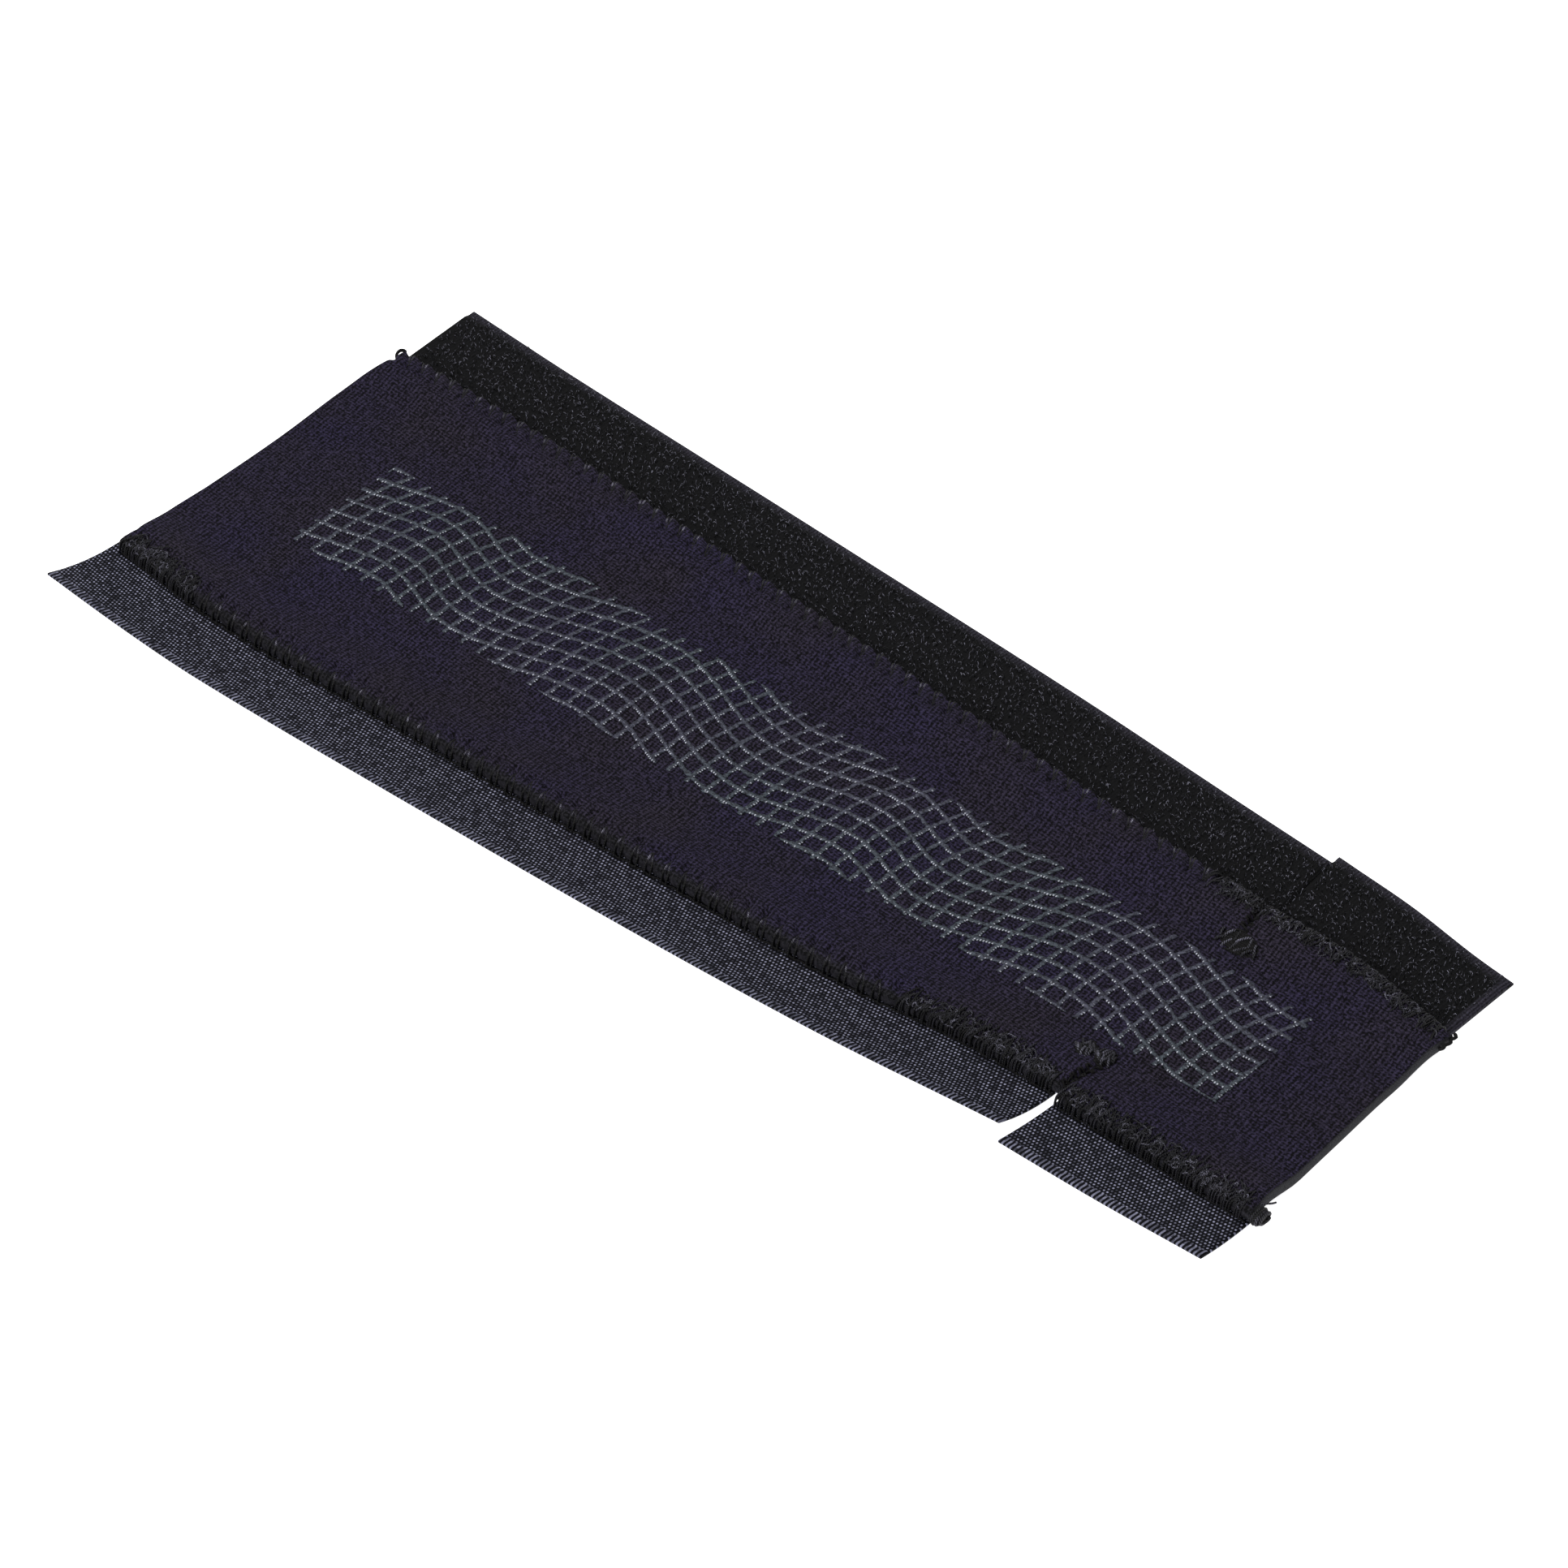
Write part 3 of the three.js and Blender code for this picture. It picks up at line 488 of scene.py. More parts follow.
NET_WAVE = np.array([(-109, -2.4), (-85.5, 1.95), (-67, -2.55), (-32.2, 5), (-0.5, -2.85), (24.5, 1.9),
                     (42.5, -2.15), (75, 5.85), (108.6, -1.7), (130, 3)])

# Transfer ink with fine flakes: grey and matt, mottled by the knit below. A row of painted glints lies along
# the near edge of each line, where the film's edge catches the light.


def cell_parts(add, share):
    """The number of the cell that a place is in, and how far through it the place is, from 0 to 1."""
    return [add("Math", {0: share}, operation=part) for part in ("FLOOR", "FRACT")]


GLINT_PITCH = 0.55
ink, add, surface = new_material("silvery_transfer_ink", Roughness=0.6, Specular_IOR_Level=0.2)
place = add("TexCoord").outputs["Object"]
in_mm = add("VectorMath", {0: place, "Scale": 1 / MM}, operation="SCALE")
uv = add("UVMap", uv_map="UVMap")
split = add("SeparateXYZ", {0: uv})
# Painted glints: bright dots along the near edge of each line, standing in for the film's edge catching the
# light.
glint_share = add("Math", {0: split.outputs["X"], 1: 1 / GLINT_PITCH}, operation="MULTIPLY")
number, in_glint = cell_parts(add, glint_share)
glint_place = add("CombineXYZ", {0: in_glint, 1: split.outputs["Y"]})
off_glint = add("VectorMath", {0: glint_place, 1: (0.5, -0.34, 0)}, operation="DISTANCE")
round_glint = add("MapRange", {0: off_glint, 1: 0.1, 2: 0.28, 3: 1.0, 4: 0.0})
luck = add("TexWhiteNoise", {"W": number}, noise_dimensions="1D")
run = add("TexNoise", {"Vector": in_mm, "Scale": 0.5, "Detail": 1.0})
chance = add("Math", {0: run, 1: 1.0, 2: luck}, operation="MULTIPLY_ADD")
glint_chosen = add("MapRange", {0: chance, 1: 1.0, 2: 1.2})
painted_glint = add("Math", {0: glint_chosen, 1: round_glint}, operation="MULTIPLY")
cover = add("TexNoise", {"Vector": in_mm, "Scale": 1.9, "Detail": 3.0, "Roughness": 0.8})
body = add("MapRange", {0: cover, 1: 0.41, 2: 0.6})
tints = add("TexNoise", {"Vector": in_mm, "Scale": 0.03, "Detail": 1.0})
tint = add("MapRange", {0: tints, 1: 0.4, 2: 0.6})
film = add("Mix", {0: tint, 6: linear("#4e4f5e"), 7: linear("#4b535b")}, data_type="RGBA")
base = add("Mix", {0: body, 6: linear("#1c1c24"), 7: film}, data_type="RGBA")
colour = add("Mix", {0: painted_glint, 6: base, 7: linear("#c4c7d2")}, data_type="RGBA")
bump = add("Bump", {"Height": cover, "Strength": 0.6, "Distance": 0.0001})
wire(surface, {"Base Color": colour, "Normal": bump})


def net_wave(x):
    """Height of the long lines: half cosines from crest to trough."""
    i = np.clip(np.searchsorted(NET_WAVE[:, 0], x), 1, len(NET_WAVE) - 1)
    (x0, y0), (x1, y1) = NET_WAVE[i - 1].T, NET_WAVE[i].T
    return y0 + (y1 - y0) * (1 - np.cos(np.pi * (x - x0) / (x1 - x0))) / 2


def window_edge(heights, x):
    """A straight line from the left height to the right one, with a parabola's bulge outwards."""
    share = (x - NET_LEFT) / (NET_RIGHT - NET_LEFT)
    bulge = 4 * NET_BULGE * share * (1 - share) * np.sign(heights[0])
    return heights[0] + (heights[1] - heights[0]) * share + bulge


def printed_strip(one_side, other_side, height):
    """A thin closed bar between two lines of points in plan, which lies on the jersey up to that height."""
    foot = PANEL_THICKNESS + 0 * one_side[:, :1]
    head = height + foot
    ring = np.stack([np.hstack(pair) for pair in
                     ((one_side, foot), (other_side, foot), (other_side, head), (one_side, head))], 1)
    count = len(ring)
    index = np.arange(count * 4).reshape(count, 4)
    nxt = np.roll(index, -1, 1)
    sides = np.stack([index[:-1], nxt[:-1], nxt[1:], index[1:]], -1).reshape(-1, 4)
    faces = np.concatenate([sides, index[:1, ::-1], index[-1:]])
    centre = (one_side + other_side) / 2
    travelled = np.concatenate([[0], np.cumsum(np.linalg.norm(np.diff(centre, axis=0), axis=1))])
    half = np.linalg.norm(one_side - other_side, axis=1) / 2
    uv = np.stack([np.repeat(travelled, 4), np.stack([-half, half, half, -half], 1).ravel()], 1)
    return ring.reshape(-1, 3), faces, uv


draw = np.random.default_rng(7)
strips = []
x = np.linspace(NET_LEFT, NET_RIGHT, round((NET_RIGHT - NET_LEFT) / NET_STEP))
for row in NET_ROWS:
    centre = NET_ROW_OFFSET + row * NET_ROW_PITCH + net_wave(x)
    stray = draw.uniform(-NET_RAGGED, NET_RAGGED, (2, len(x)))
    low_side = np.maximum(centre - NET_LINE / 2 + stray[0], window_edge(NET_LOW, x))
    high_side = np.minimum(centre + NET_LINE / 2 + stray[1], window_edge(NET_HIGH, x))
    printed = np.flatnonzero(high_side - low_side > NET_SLIVER)
    for run in np.split(printed, np.flatnonzero(np.diff(printed) > 1) + 1):
        if len(run) > 2:
            sides = [np.stack([x[run], side[run]], 1) for side in (low_side, high_side)]
            strips.append(printed_strip(*sides, NET_THICKNESS))
for column in NET_COLUMNS:
    rest = NET_COLUMN_OFFSET + column * NET_COLUMN_PITCH
    low, high = window_edge(NET_LOW, rest), window_edge(NET_HIGH, rest)
    y = np.linspace(low, high, round((high - low) / NET_STEP))
    lean = NET_LEAN * np.clip(y - NET_LEAN_START, 0, None) ** 2
    stray = draw.uniform(-NET_RAGGED, NET_RAGGED, (2, len(y)))
    left_side = np.maximum(rest + lean - NET_LINE / 2 + stray[0], NET_LEFT)
    right_side = np.minimum(rest + lean + NET_LINE / 2 + stray[1], NET_RIGHT)
    run = np.flatnonzero(right_side - left_side > NET_SLIVER)
    if len(run) > 2:
        sides = [np.stack([side[run], y[run]], 1) for side in (right_side, left_side)]
        strips.append(printed_strip(*sides, NET_THICKNESS - NET_CROSS_DROP))
points, faces, uvs = zip(*strips)
starts = np.cumsum([0] + [len(part) for part in points])
faces = [face for start, part in zip(starts, faces) for face in (part + start).tolist()]
net = new_piece("print_net_film", np.concatenate(points), faces, [ink], {"UVMap": np.concatenate(uvs)})
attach(net, "root")
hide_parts("print_net")

# The loop tape: a woven nylon ribbon whose face is brushed up into a pile of small curled loops, with a bare
# selvedge outside. It is sewn under the panel's upper edge in two lengths, face up.

TAPE_OVERLAP = 4
LOOP_SELVEDGE_HEIGHT = 0.6
LOOP_SELVEDGE_WIDTH = 1.6
LOOP_BASE_HEIGHT = 0.95
LOOP_OUTER_MAIN = curve((-129, 52.9), (-99, 51.5), (-30, 49.4), (30, 47.4), (65, 45.5), (88, 44.4))
LOOP_OUTER_END = curve((88, 46.4), (104, 45.3), (120, 42.9), (129.4, 42))
LOOP_LEFT_END = (-127.3, -128.4)
LOOP_SPLIT = (89.7, 88)
LOOP_RIGHT_END = (129.1, 129.3)
LOOP_GAP = 0.06
LOOP_FOOT_RAMP = 0.8              # over which the face steps up to the pile's foot
LOOP_EDGE_DROP = 0.25
TAPE_EDGE_ROUND = 0.15
RIB_PITCH = 0.7
PILE_SPACING = 0.88
PILE_RADIUS = 0.06
PILE_REACH = (0.4, 1.2)
BARE_LEFT_END = 1.2               # of a tape, beside its cut end
BARE_RIGHT_END = 1.5
PILE_RISE = (0.3, 0.95)
PILE_BEND = 2.2                   # of a loop's line, in radians either way
PILE_POINTS = 7
PILE_MARGIN = 0.3                 # beside the panel's edge
PILE_OVERHANG = 1.2               # past the tape's ends
PILE_SIDES = 3
STRAND_STEP = 40


def tape_point(seam, outer, start, end, along, across):
    """Plan of a tape: along is the share of its length, across the distance out from the panel's edge. A line
    across goes from its place on the seam to its place on the outer edge."""
    at_seam = start[0] + (end[0] - start[0]) * along
    at_outer = start[1] + (end[1] - start[1]) * along
    width = outer(at_seam) - seam(at_seam)
    x = at_seam + (at_outer - at_seam) * across / np.abs(width)
    return x, seam(x) + np.sign(width) * across


def tape_width(seam, outer, start, end, along):
    """Its open width beside the panel, at a share of its length."""
    at_seam = start[0] + (end[0] - start[0]) * along
    return np.abs(outer(at_seam) - seam(at_seam))


def tubes(name, paths, radius, sides, material):
    """Closed tubes along many paths at once, in an array [strand, point, xyz]. A ring has its corners at even
    turns round the path and one side square to the upright plane of the strand. UV is the turn and the
    distance along, and each strand's distance starts STRAND_STEP further on, so that a material can tell the
    strands apart."""
    strands, count = paths.shape[:2]
    tangent = np.gradient(paths, axis=1)
    tangent /= np.linalg.norm(tangent, axis=2, keepdims=True)
    chord = paths[:, -1] - paths[:, 0]
    side = np.stack([-chord[:, 1], chord[:, 0], 0.001 + 0 * chord[:, 0]], -1)[:, None]
    side = side - tangent * (side * tangent).sum(-1, keepdims=True)
    side /= np.linalg.norm(side, axis=2, keepdims=True)
    other = np.cross(tangent, side)
    turn = 2 * np.pi * np.arange(sides) / sides
    radius = np.broadcast_to(radius, (strands, count))[..., None, None]
    ring = side[:, :, None] * np.cos(turn)[:, None] + other[:, :, None] * np.sin(turn)[:, None]
    points = (paths[:, :, None] + radius * ring).reshape(-1, 3)
    index = np.arange(strands * count * sides).reshape(strands, count, sides)
    nxt = np.roll(index, -1, 2)
    body = np.stack([index[:, :-1], nxt[:, :-1], nxt[:, 1:], index[:, 1:]], -1).reshape(-1, 4)
    caps = np.concatenate([index[:, 0, ::-1], index[:, -1]])
    step = np.linalg.norm(np.diff(paths, axis=1), axis=2)
    distance = np.concatenate([np.zeros((strands, 1)), np.cumsum(step, 1)], 1)
    distance += STRAND_STEP * np.arange(strands)[:, None]
    uv = np.stack(np.broadcast_arrays(np.arange(sides) / sides, distance[..., None]), -1).reshape(-1, 2)
    return new_piece(name, points, body.tolist() + caps.tolist(), [material], {"UVMap": uv})


# Brushed nylon loops, dyed black: matt and deep, with single fibres that shine grey.

pile, add, surface = new_material("brushed_nylon_loops", Roughness=0.6, Specular_IOR_Level=0.3)
place = add("TexCoord").outputs["Object"]
strand_noise = add("TexNoise", {"Vector": place, "Scale": 1500, "Detail": 3.0, "Roughness": 0.7})
shade = add("MapRange", {0: strand_noise, 1: 0.48, 2: 0.72})
colour = add("Mix", {0: shade, 6: linear("#050506"), 7: linear("#9d9cae")}, data_type="RGBA")
wire(surface, {"Base Color": colour})

# The ribbon below the pile, of the same yarn, woven: nearly black, and a little violet where it is bare.

ribbon, add, surface = new_material("woven_nylon_ribbon", Roughness=0.8, Specular_IOR_Level=0.12)
uv = add("UVMap", uv_map="UVMap")
split = add("SeparateXYZ", {0: uv})
rib = wave(add, split.outputs["X"], RIB_PITCH)
fuzz = add("TexNoise", {"Vector": uv, "Scale": 2.4, "Detail": 3.0, "Roughness": 0.7})
height = add("Math", {0: rib, 1: 0.1, 2: fuzz}, operation="MULTIPLY_ADD")
shade = add("MapRange", {0: height, 1: 0.3, 2: 0.9})
edge = add("MapRange", {0: split.outputs["Y"], 1: 0.4, 2: 2.6, 3: 1.0, 4: 0.0})
bare_end = add("MapRange", {0: split.outputs["X"], 1: LOOP_RIGHT_END[0] - 1.8, 2: LOOP_RIGHT_END[0] - 1.1})
bare = add("Math", {0: edge, 1: bare_end}, operation="MAXIMUM")
lit = add("Mix", {0: bare, 6: linear("#131315"), 7: linear("#4d4a58")}, data_type="RGBA")
colour = add("Mix", {0: shade, 6: linear("#050506"), 7: lit}, data_type="RGBA")
bump = add("Bump", {"Height": height, "Strength": 0.7, "Distance": 0.0003})
wire(surface, {"Base Color": colour, "Normal": bump})


def loop_tape(name, outer, start, end):
    """The ribbon, a closed cloth whose face steps up from the selvedge to the pile's foot, and its pile:
    loops that rise and fall as a half sine along a short bent line, in all directions."""
    length = abs(end[0] - start[0])
    along = np.linspace(0, 1, round(length / 1.5) + 1)[:, None]
    width = tape_width(UPPER_SEAM, outer, start, end, along)
    rows = np.array([-TAPE_OVERLAP, -0.05, 0.5, 1.2])
    outside = np.array([LOOP_SELVEDGE_WIDTH + 1.2, LOOP_SELVEDGE_WIDTH, 0.5, 0.15, 0])
    across = np.concatenate([rows + 0 * width, width * 0.35, width * 0.65, width - outside], 1)
    x, y = tape_point(UPPER_SEAM, outer, start, end, along, across)
    out = width - across
    step_up = (LOOP_BASE_HEIGHT - LOOP_SELVEDGE_HEIGHT) * smooth((out - LOOP_SELVEDGE_WIDTH) / LOOP_FOOT_RAMP)
    round_off = LOOP_EDGE_DROP * np.exp(-(out / TAPE_EDGE_ROUND) ** 2)
    face = np.stack([x, y, LOOP_SELVEDGE_HEIGHT + step_up - round_off], -1)
    under = np.stack([x, y, 0 * x], -1)
    base = cloth(name + "_ribbon", face, under, 2, 0, [ribbon] * 3, {"UVMap": np.stack([x, out], -1)})
    mean_width = float(width.mean())
    columns, lines = round(length / PILE_SPACING), round((mean_width - LOOP_SELVEDGE_WIDTH) / PILE_SPACING)
    u, v = np.meshgrid(np.arange(columns), np.arange(lines), indexing="ij")
    bare = (BARE_LEFT_END, 0) if start == LOOP_LEFT_END else (0, BARE_RIGHT_END)
    u = (bare[0] + (u + draw.uniform(0, 1, u.shape)).ravel() / columns * (length - sum(bare))) / length
    v = (v + draw.uniform(0, 1, v.shape)).ravel() / lines
    reach = draw.uniform(*PILE_REACH, len(u))
    width = tape_width(UPPER_SEAM, outer, start, end, u)
    out_here = PILE_MARGIN + v * (width - LOOP_SELVEDGE_WIDTH - PILE_MARGIN)
    x, y = tape_point(UPPER_SEAM, outer, start, end, u, out_here)
    heading = draw.uniform(0, 2 * np.pi, len(u))
    bend = draw.uniform(-PILE_BEND, PILE_BEND, len(u))
    t = np.linspace(0, 1, PILE_POINTS)
    angle = heading[:, None] + bend[:, None] * (t - 0.5)
    step = reach[:, None] / (PILE_POINTS - 1)
    path_x = x[:, None] + np.cumsum(step * np.cos(angle), 1)
    path_y = y[:, None] + np.cumsum(step * np.sin(angle), 1)
    rise = draw.uniform(*PILE_RISE, len(u))[:, None]
    path_z = LOOP_BASE_HEIGHT - 0.1 + rise * np.sin(np.pi * t)
    fits = (path_x.min(1) > min(start) - PILE_OVERHANG) & (path_x.max(1) < max(end) + PILE_OVERHANG)
    paths = np.stack([path_x, path_y, path_z], -1)[fits]
    loops = tubes(name + "_pile", paths, PILE_RADIUS, PILE_SIDES, pile)
    for piece in (base, loops):
        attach(piece, "root")
        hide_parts(name)


near_gap = (LOOP_SPLIT[0] - LOOP_GAP / 2, LOOP_SPLIT[1] - LOOP_GAP / 2)
far_gap = (LOOP_SPLIT[0] + LOOP_GAP / 2, LOOP_SPLIT[1] + LOOP_GAP / 2)
loop_tape("loop_tape_main", LOOP_OUTER_MAIN, LOOP_LEFT_END, near_gap)
loop_tape("loop_tape_end", LOOP_OUTER_END, far_gap, LOOP_RIGHT_END)

# The hook tape: a woven nylon ribbon, turned so that its back is up and its rows of small hooks face the
# ground. It is sewn under the panel's lower edge in two lengths, and its outer edge stands up a little.

HOOK_BACKING = 0.5
HOOK_SELVEDGE_WIDTH = 2.4
HOOK_OUTER_MAIN = curve((-127.8, -56.9), (-107, -57.9), (-87, -58.1), (-47, -56.3), (13, -52.7), (53, -49.3),
                        (89.2, -44.7))
HOOK_OUTER_END = curve((91.2, -46.7), (112, -45.8), (132.5, -44.3))
HOOK_LEFT_END = (-127.5, -127.9)
HOOK_SPLIT = (90.8, 90.3)
HOOK_RIGHT_END = (132.6, 132.5)
HOOK_GAP = 1.7
HOOK_CURL_MAIN = 3.0
HOOK_CURL_END = 1.3
LOOP_CELL = 0.69
LOOP_ROW = 0.75
SELVEDGE_PITCH = 0.85
HOOK_PITCH = (1.6, 1.75)
HOOK_RADIUS = 0.12
HOOK_MARGIN = 1                   # bare at the ends and the outer edge
HOOK_STEM = 0.55
HOOK_HALF_WIDTH = 0.35
HOOK_BOW = 0.3
HOOK_EDGE_DROP = 0.15

# Woven nylon back: the hooks' roots show as staggered tiny loops, grey on violet black, and the selvedge is
# clean black and pale ribs.

weave, add, surface = new_material("woven_hook_backing", Roughness=0.8, Specular_IOR_Level=0.08)
uv = add("UVMap", uv_map="UVMap")
split = add("SeparateXYZ", {0: uv})
row_share = add("Math", {0: split.outputs["Y"], 1: 1 / LOOP_ROW}, operation="MULTIPLY")
row, in_row = cell_parts(add, row_share)
offset = add("Math", {0: row, 1: 0.5}, operation="MULTIPLY")
column_share = add("Math", {0: split.outputs["X"], 1: 1 / LOOP_CELL, 2: offset}, operation="MULTIPLY_ADD")
column, in_column = cell_parts(add, column_share)
in_cell = add("CombineXYZ", {0: in_column, 1: in_row})
off_centre = add("VectorMath", {0: in_cell, 1: (0.5, 0.55, 0)}, operation="DISTANCE")
loop = add("MapRange", {0: off_centre, 1: 0.12, 2: 0.36, 3: 1.0, 4: 0.0})
cell = add("CombineXYZ", {0: column, 1: row})
luck = add("TexWhiteNoise", {"Vector": cell}, noise_dimensions="2D")
fine = wave(add, split.outputs["X"], SELVEDGE_PITCH)
fine_share = add("MapRange", {0: fine, 1: -0.1, 2: 0.4, 3: 0.0, 4: 0.6})
selvedge = add("MapRange", {0: split.outputs["Y"], 1: 1.7, 2: 2.0, 3: 1.0, 4: 0.0})
relief = add("Mix", {0: selvedge, 2: loop, 3: fine_share})
strength = add("MapRange", {0: luck, 1: 0.0, 2: 1.0, 3: 0.12, 4: 1.0})
value = add("Math", {0: relief, 1: strength}, operation="MULTIPLY")
speck = add("TexNoise", {"Vector": uv, "Scale": 3.0, "Detail": 2.0, "Roughness": 0.8})
fleck = add("MapRange", {0: speck, 1: 0.35, 2: 0.65, 3: 0.75, 4: 1.15})
shade = add("Math", {0: value, 1: fleck}, operation="MULTIPLY", use_clamp=True)
colour = add("Mix", {0: shade, 6: linear("#0a0a0f"), 7: linear("#a3a4bd")}, data_type="RGBA")
bump = add("Bump", {"Height": relief, "Strength": 0.6, "Distance": 0.00015})
wire(surface, {"Base Color": colour, "Normal": bump})

# Hooks of extruded nylon, black and smooth.

hook_nylon, add, surface = new_material("moulded_nylon_hooks", Roughness=0.45, Specular_IOR_Level=0.3)
place = add("TexCoord").outputs["Object"]
scuff = add("TexNoise", {"Vector": place, "Scale": 900})
colour = add("Mix", {0: scuff, 6: linear("#0c0c0e"), 7: linear("#222226")}, data_type="RGBA")
wire(surface, {"Base Color": colour})


def hook_tape(name, seam, outer, start, end, curl):
    """The ribbon lies flat at the seam and rises with the square of the share across, and its hooks hang
    from it: each goes straight down and turns back up through half an oval, to either side by turns."""
    length = abs(end[0] - start[0])
    along = np.linspace(0, 1, round(length / 1.0) + 1)[:, None]
    width = tape_width(seam, outer, start, end, along)
    inside = np.array([0, -TAPE_OVERLAP])
    outside = np.array([0, 0.12, 0.4, 1.2, 2.4])
    steps = width * np.array([0.75, 0.6, 0.45, 0.3, 0.15])
    across = np.concatenate([width - outside, steps, inside + 0 * width], 1)
    x, y = tape_point(seam, outer, start, end, along, across)
    rise = curl * np.clip(across / width, 0, None) ** 2
    out = width - across
    round_off = HOOK_EDGE_DROP * np.exp(-(out / TAPE_EDGE_ROUND) ** 2)
    face = np.stack([x, y, TAPE_SEAM_HEIGHT + rise - round_off], -1)
    under = np.stack([x, y, TAPE_SEAM_HEIGHT - HOOK_BACKING + rise], -1)
    base = cloth(name + "_backing", face, under, 2, 0, [weave] * 3, {"UVMap": np.stack([x, out], -1)})
    mean_width = float(width.mean())
    columns = round(length / HOOK_PITCH[0])
    lines = int((mean_width - HOOK_SELVEDGE_WIDTH - HOOK_MARGIN) / HOOK_PITCH[1])
    u, v = np.meshgrid(np.arange(columns), np.arange(lines), indexing="ij")
    turn = np.where((u + v) % 2, 1, -1).ravel()
    u = HOOK_MARGIN / length + (u.ravel() + 0.5) / columns * (1 - 2 * HOOK_MARGIN / length)
    width = tape_width(seam, outer, start, end, u)
    out_here = HOOK_MARGIN + (v.ravel() + 0.5) / lines * (width - HOOK_SELVEDGE_WIDTH - HOOK_MARGIN)
    x, y = tape_point(seam, outer, start, end, u, out_here)
    lift = curl * (out_here / width) ** 2
    t = np.linspace(0, np.pi, 6)
    sideways = np.concatenate([[0], HOOK_HALF_WIDTH * (1 - np.cos(t))])
    down = np.concatenate([[0], HOOK_STEM + HOOK_BOW * np.sin(t)])
    paths = np.stack([
        x[:, None] + turn[:, None] * sideways,
        y[:, None] + 0 * sideways,
        (TAPE_SEAM_HEIGHT - HOOK_BACKING + lift)[:, None] - down,
    ], -1)
    hooks = tubes(name + "_hooks", paths, HOOK_RADIUS, 4, hook_nylon)
    for piece in (base, hooks):
        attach(piece, "root")
        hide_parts(name)


near_gap = (HOOK_SPLIT[0] - HOOK_GAP / 2, HOOK_SPLIT[1] - HOOK_GAP / 2)
far_gap = (HOOK_SPLIT[0] + HOOK_GAP / 2, HOOK_SPLIT[1] + HOOK_GAP / 2)
hook_tape("hook_tape_main", LOWER_SEAM_MAIN, HOOK_OUTER_MAIN, HOOK_LEFT_END, near_gap, HOOK_CURL_MAIN)
hook_tape("hook_tape_end", LOWER_SEAM_END, HOOK_OUTER_END, far_gap, HOOK_RIGHT_END, HOOK_CURL_END)

# The seams: black spun polyester, sewn over the panel's edge on an overlock. Each stitch comes up from the
# tape, leans over the edge and goes into its needle hole, and a looper thread ties them along the edge. The
# seams are sewn over once more, closer, where the wrap bends most.

THREAD_RADIUS = 0.22
THREAD_SIDES = 6
LOOPER_RADIUS = 0.19
FAR = 99.0                        # an inset that no other edge's stitches reach
OVERLOCK_STRANDS = 4
OVERLOCK_RADIUS = 0.17
UPPER_STRAND_FOOT = 1.3           # height at which the upper seam's threads start, in the pile
UPPER_LOOPER_FOOT = 1.2
LOOPER_END = 0.5                  # past the last stitch
CURL_SPACING = 0.9
CURL_RADIUS = 0.15
CURL_MARGIN = 1.2                 # from the ends of its stretch
CURL_BEND = 5                     # of a curl's line, in radians either way
CURL_STEP = (0.15, 0.3)
CURL_RISE = (0.25, 0.5)
LOOPER_STEP = 0.5
LOOPER_OFF = 0.42                 # out from the panel's edge
LOOPER_SWING = 0.16
LOOPER_LIFT = 0.28                # over the tape
LOOPER_NOD = 0.1
RIM_DISTANCE = 3.3                # along a strand, where it turns over the panel's rim

# Spun polyester, two plies twisted: matt black, some strands worn grey, and each with a painted highlight
# where it turns over the rim to the light. The overlocked stretches' matted yarn is painted grey all along,
# as lit strands, and their curls are painted paler still.

PLIES = 2
TWIST = 1.2                       # turns in a millimetre

def yarn(name, light, far_tone):
    """Yarn whose strands differ in tone, with the light colour as a painted highlight at the rim and a share
    of it elsewhere.
    """
    material, add, surface = new_material(name, Roughness=0.55, Specular_IOR_Level=0.25)
    uv = add("UVMap", uv_map="UVMap")
    split = add("SeparateXYZ", {0: uv})
    lay = add("Math", {0: split.outputs["Y"], 1: TWIST, 2: split.outputs["X"]}, operation="MULTIPLY_ADD")
    ply = wave(add, lay, 1 / PLIES)
    fuzz = add("TexNoise", {"Vector": uv, "Scale": 1.6, "Detail": 3.0, "Roughness": 0.7})
    lift = add("Math", {0: fuzz, 1: 5.0, 2: ply}, operation="MULTIPLY_ADD")
    shade = add("MapRange", {0: lift, 1: 1.7, 2: 3.6})
    strand_share = add("Math", {0: split.outputs["Y"], 1: 1 / STRAND_STEP}, operation="MULTIPLY")
    strand, along = cell_parts(add, strand_share)
    luck = add("TexWhiteNoise", {"W": strand}, noise_dimensions="1D")
    # Painted highlight: each strand is lighter where it turns over the rim to the light.
    off_rim = add("Math", {0: along, 1: RIM_DISTANCE / STRAND_STEP}, operation="SUBTRACT")
    off_rim = add("Math", {0: off_rim}, operation="ABSOLUTE")
    painted_rim_highlight = add("MapRange", {0: off_rim, 1: 0.1 / STRAND_STEP, 2: 0.8 / STRAND_STEP,
                                3: 1.0, 4: far_tone})
    worn = add("MapRange", {0: luck, 1: 0.45, 2: 1.0, 3: 0.12, 4: 1.0})
    tone = add("Math", {0: painted_rim_highlight, 1: worn}, operation="MULTIPLY")
    value = add("Math", {0: tone, 1: shade}, operation="MULTIPLY")
    colour = add("Mix", {0: value, 6: linear("#060606"), 7: linear(light)}, data_type="RGBA")
    bump = add("Bump", {"Height": ply, "Strength": 0.7, "Distance": 0.0001})
    wire(surface, {"Base Color": colour, "Normal": bump})
    return material


# The three yarns are one thread: the matted one is painted grey as its raised strands catch the light, and
# the paler one is painted lighter still for the curls, bars and tag that lie on top.
spun = yarn("spun_polyester_thread", "#9a97ab", 0.03)
lit_matted_yarn = yarn("lit_matted_polyester_thread", "#54525f", 0.5)
paler_lit_yarn = yarn("paler_lit_polyester_thread", "#a09eb4", 0.55)

# The looper's thread is the same yarn, black throughout, as it lies in the shadow of the edge.

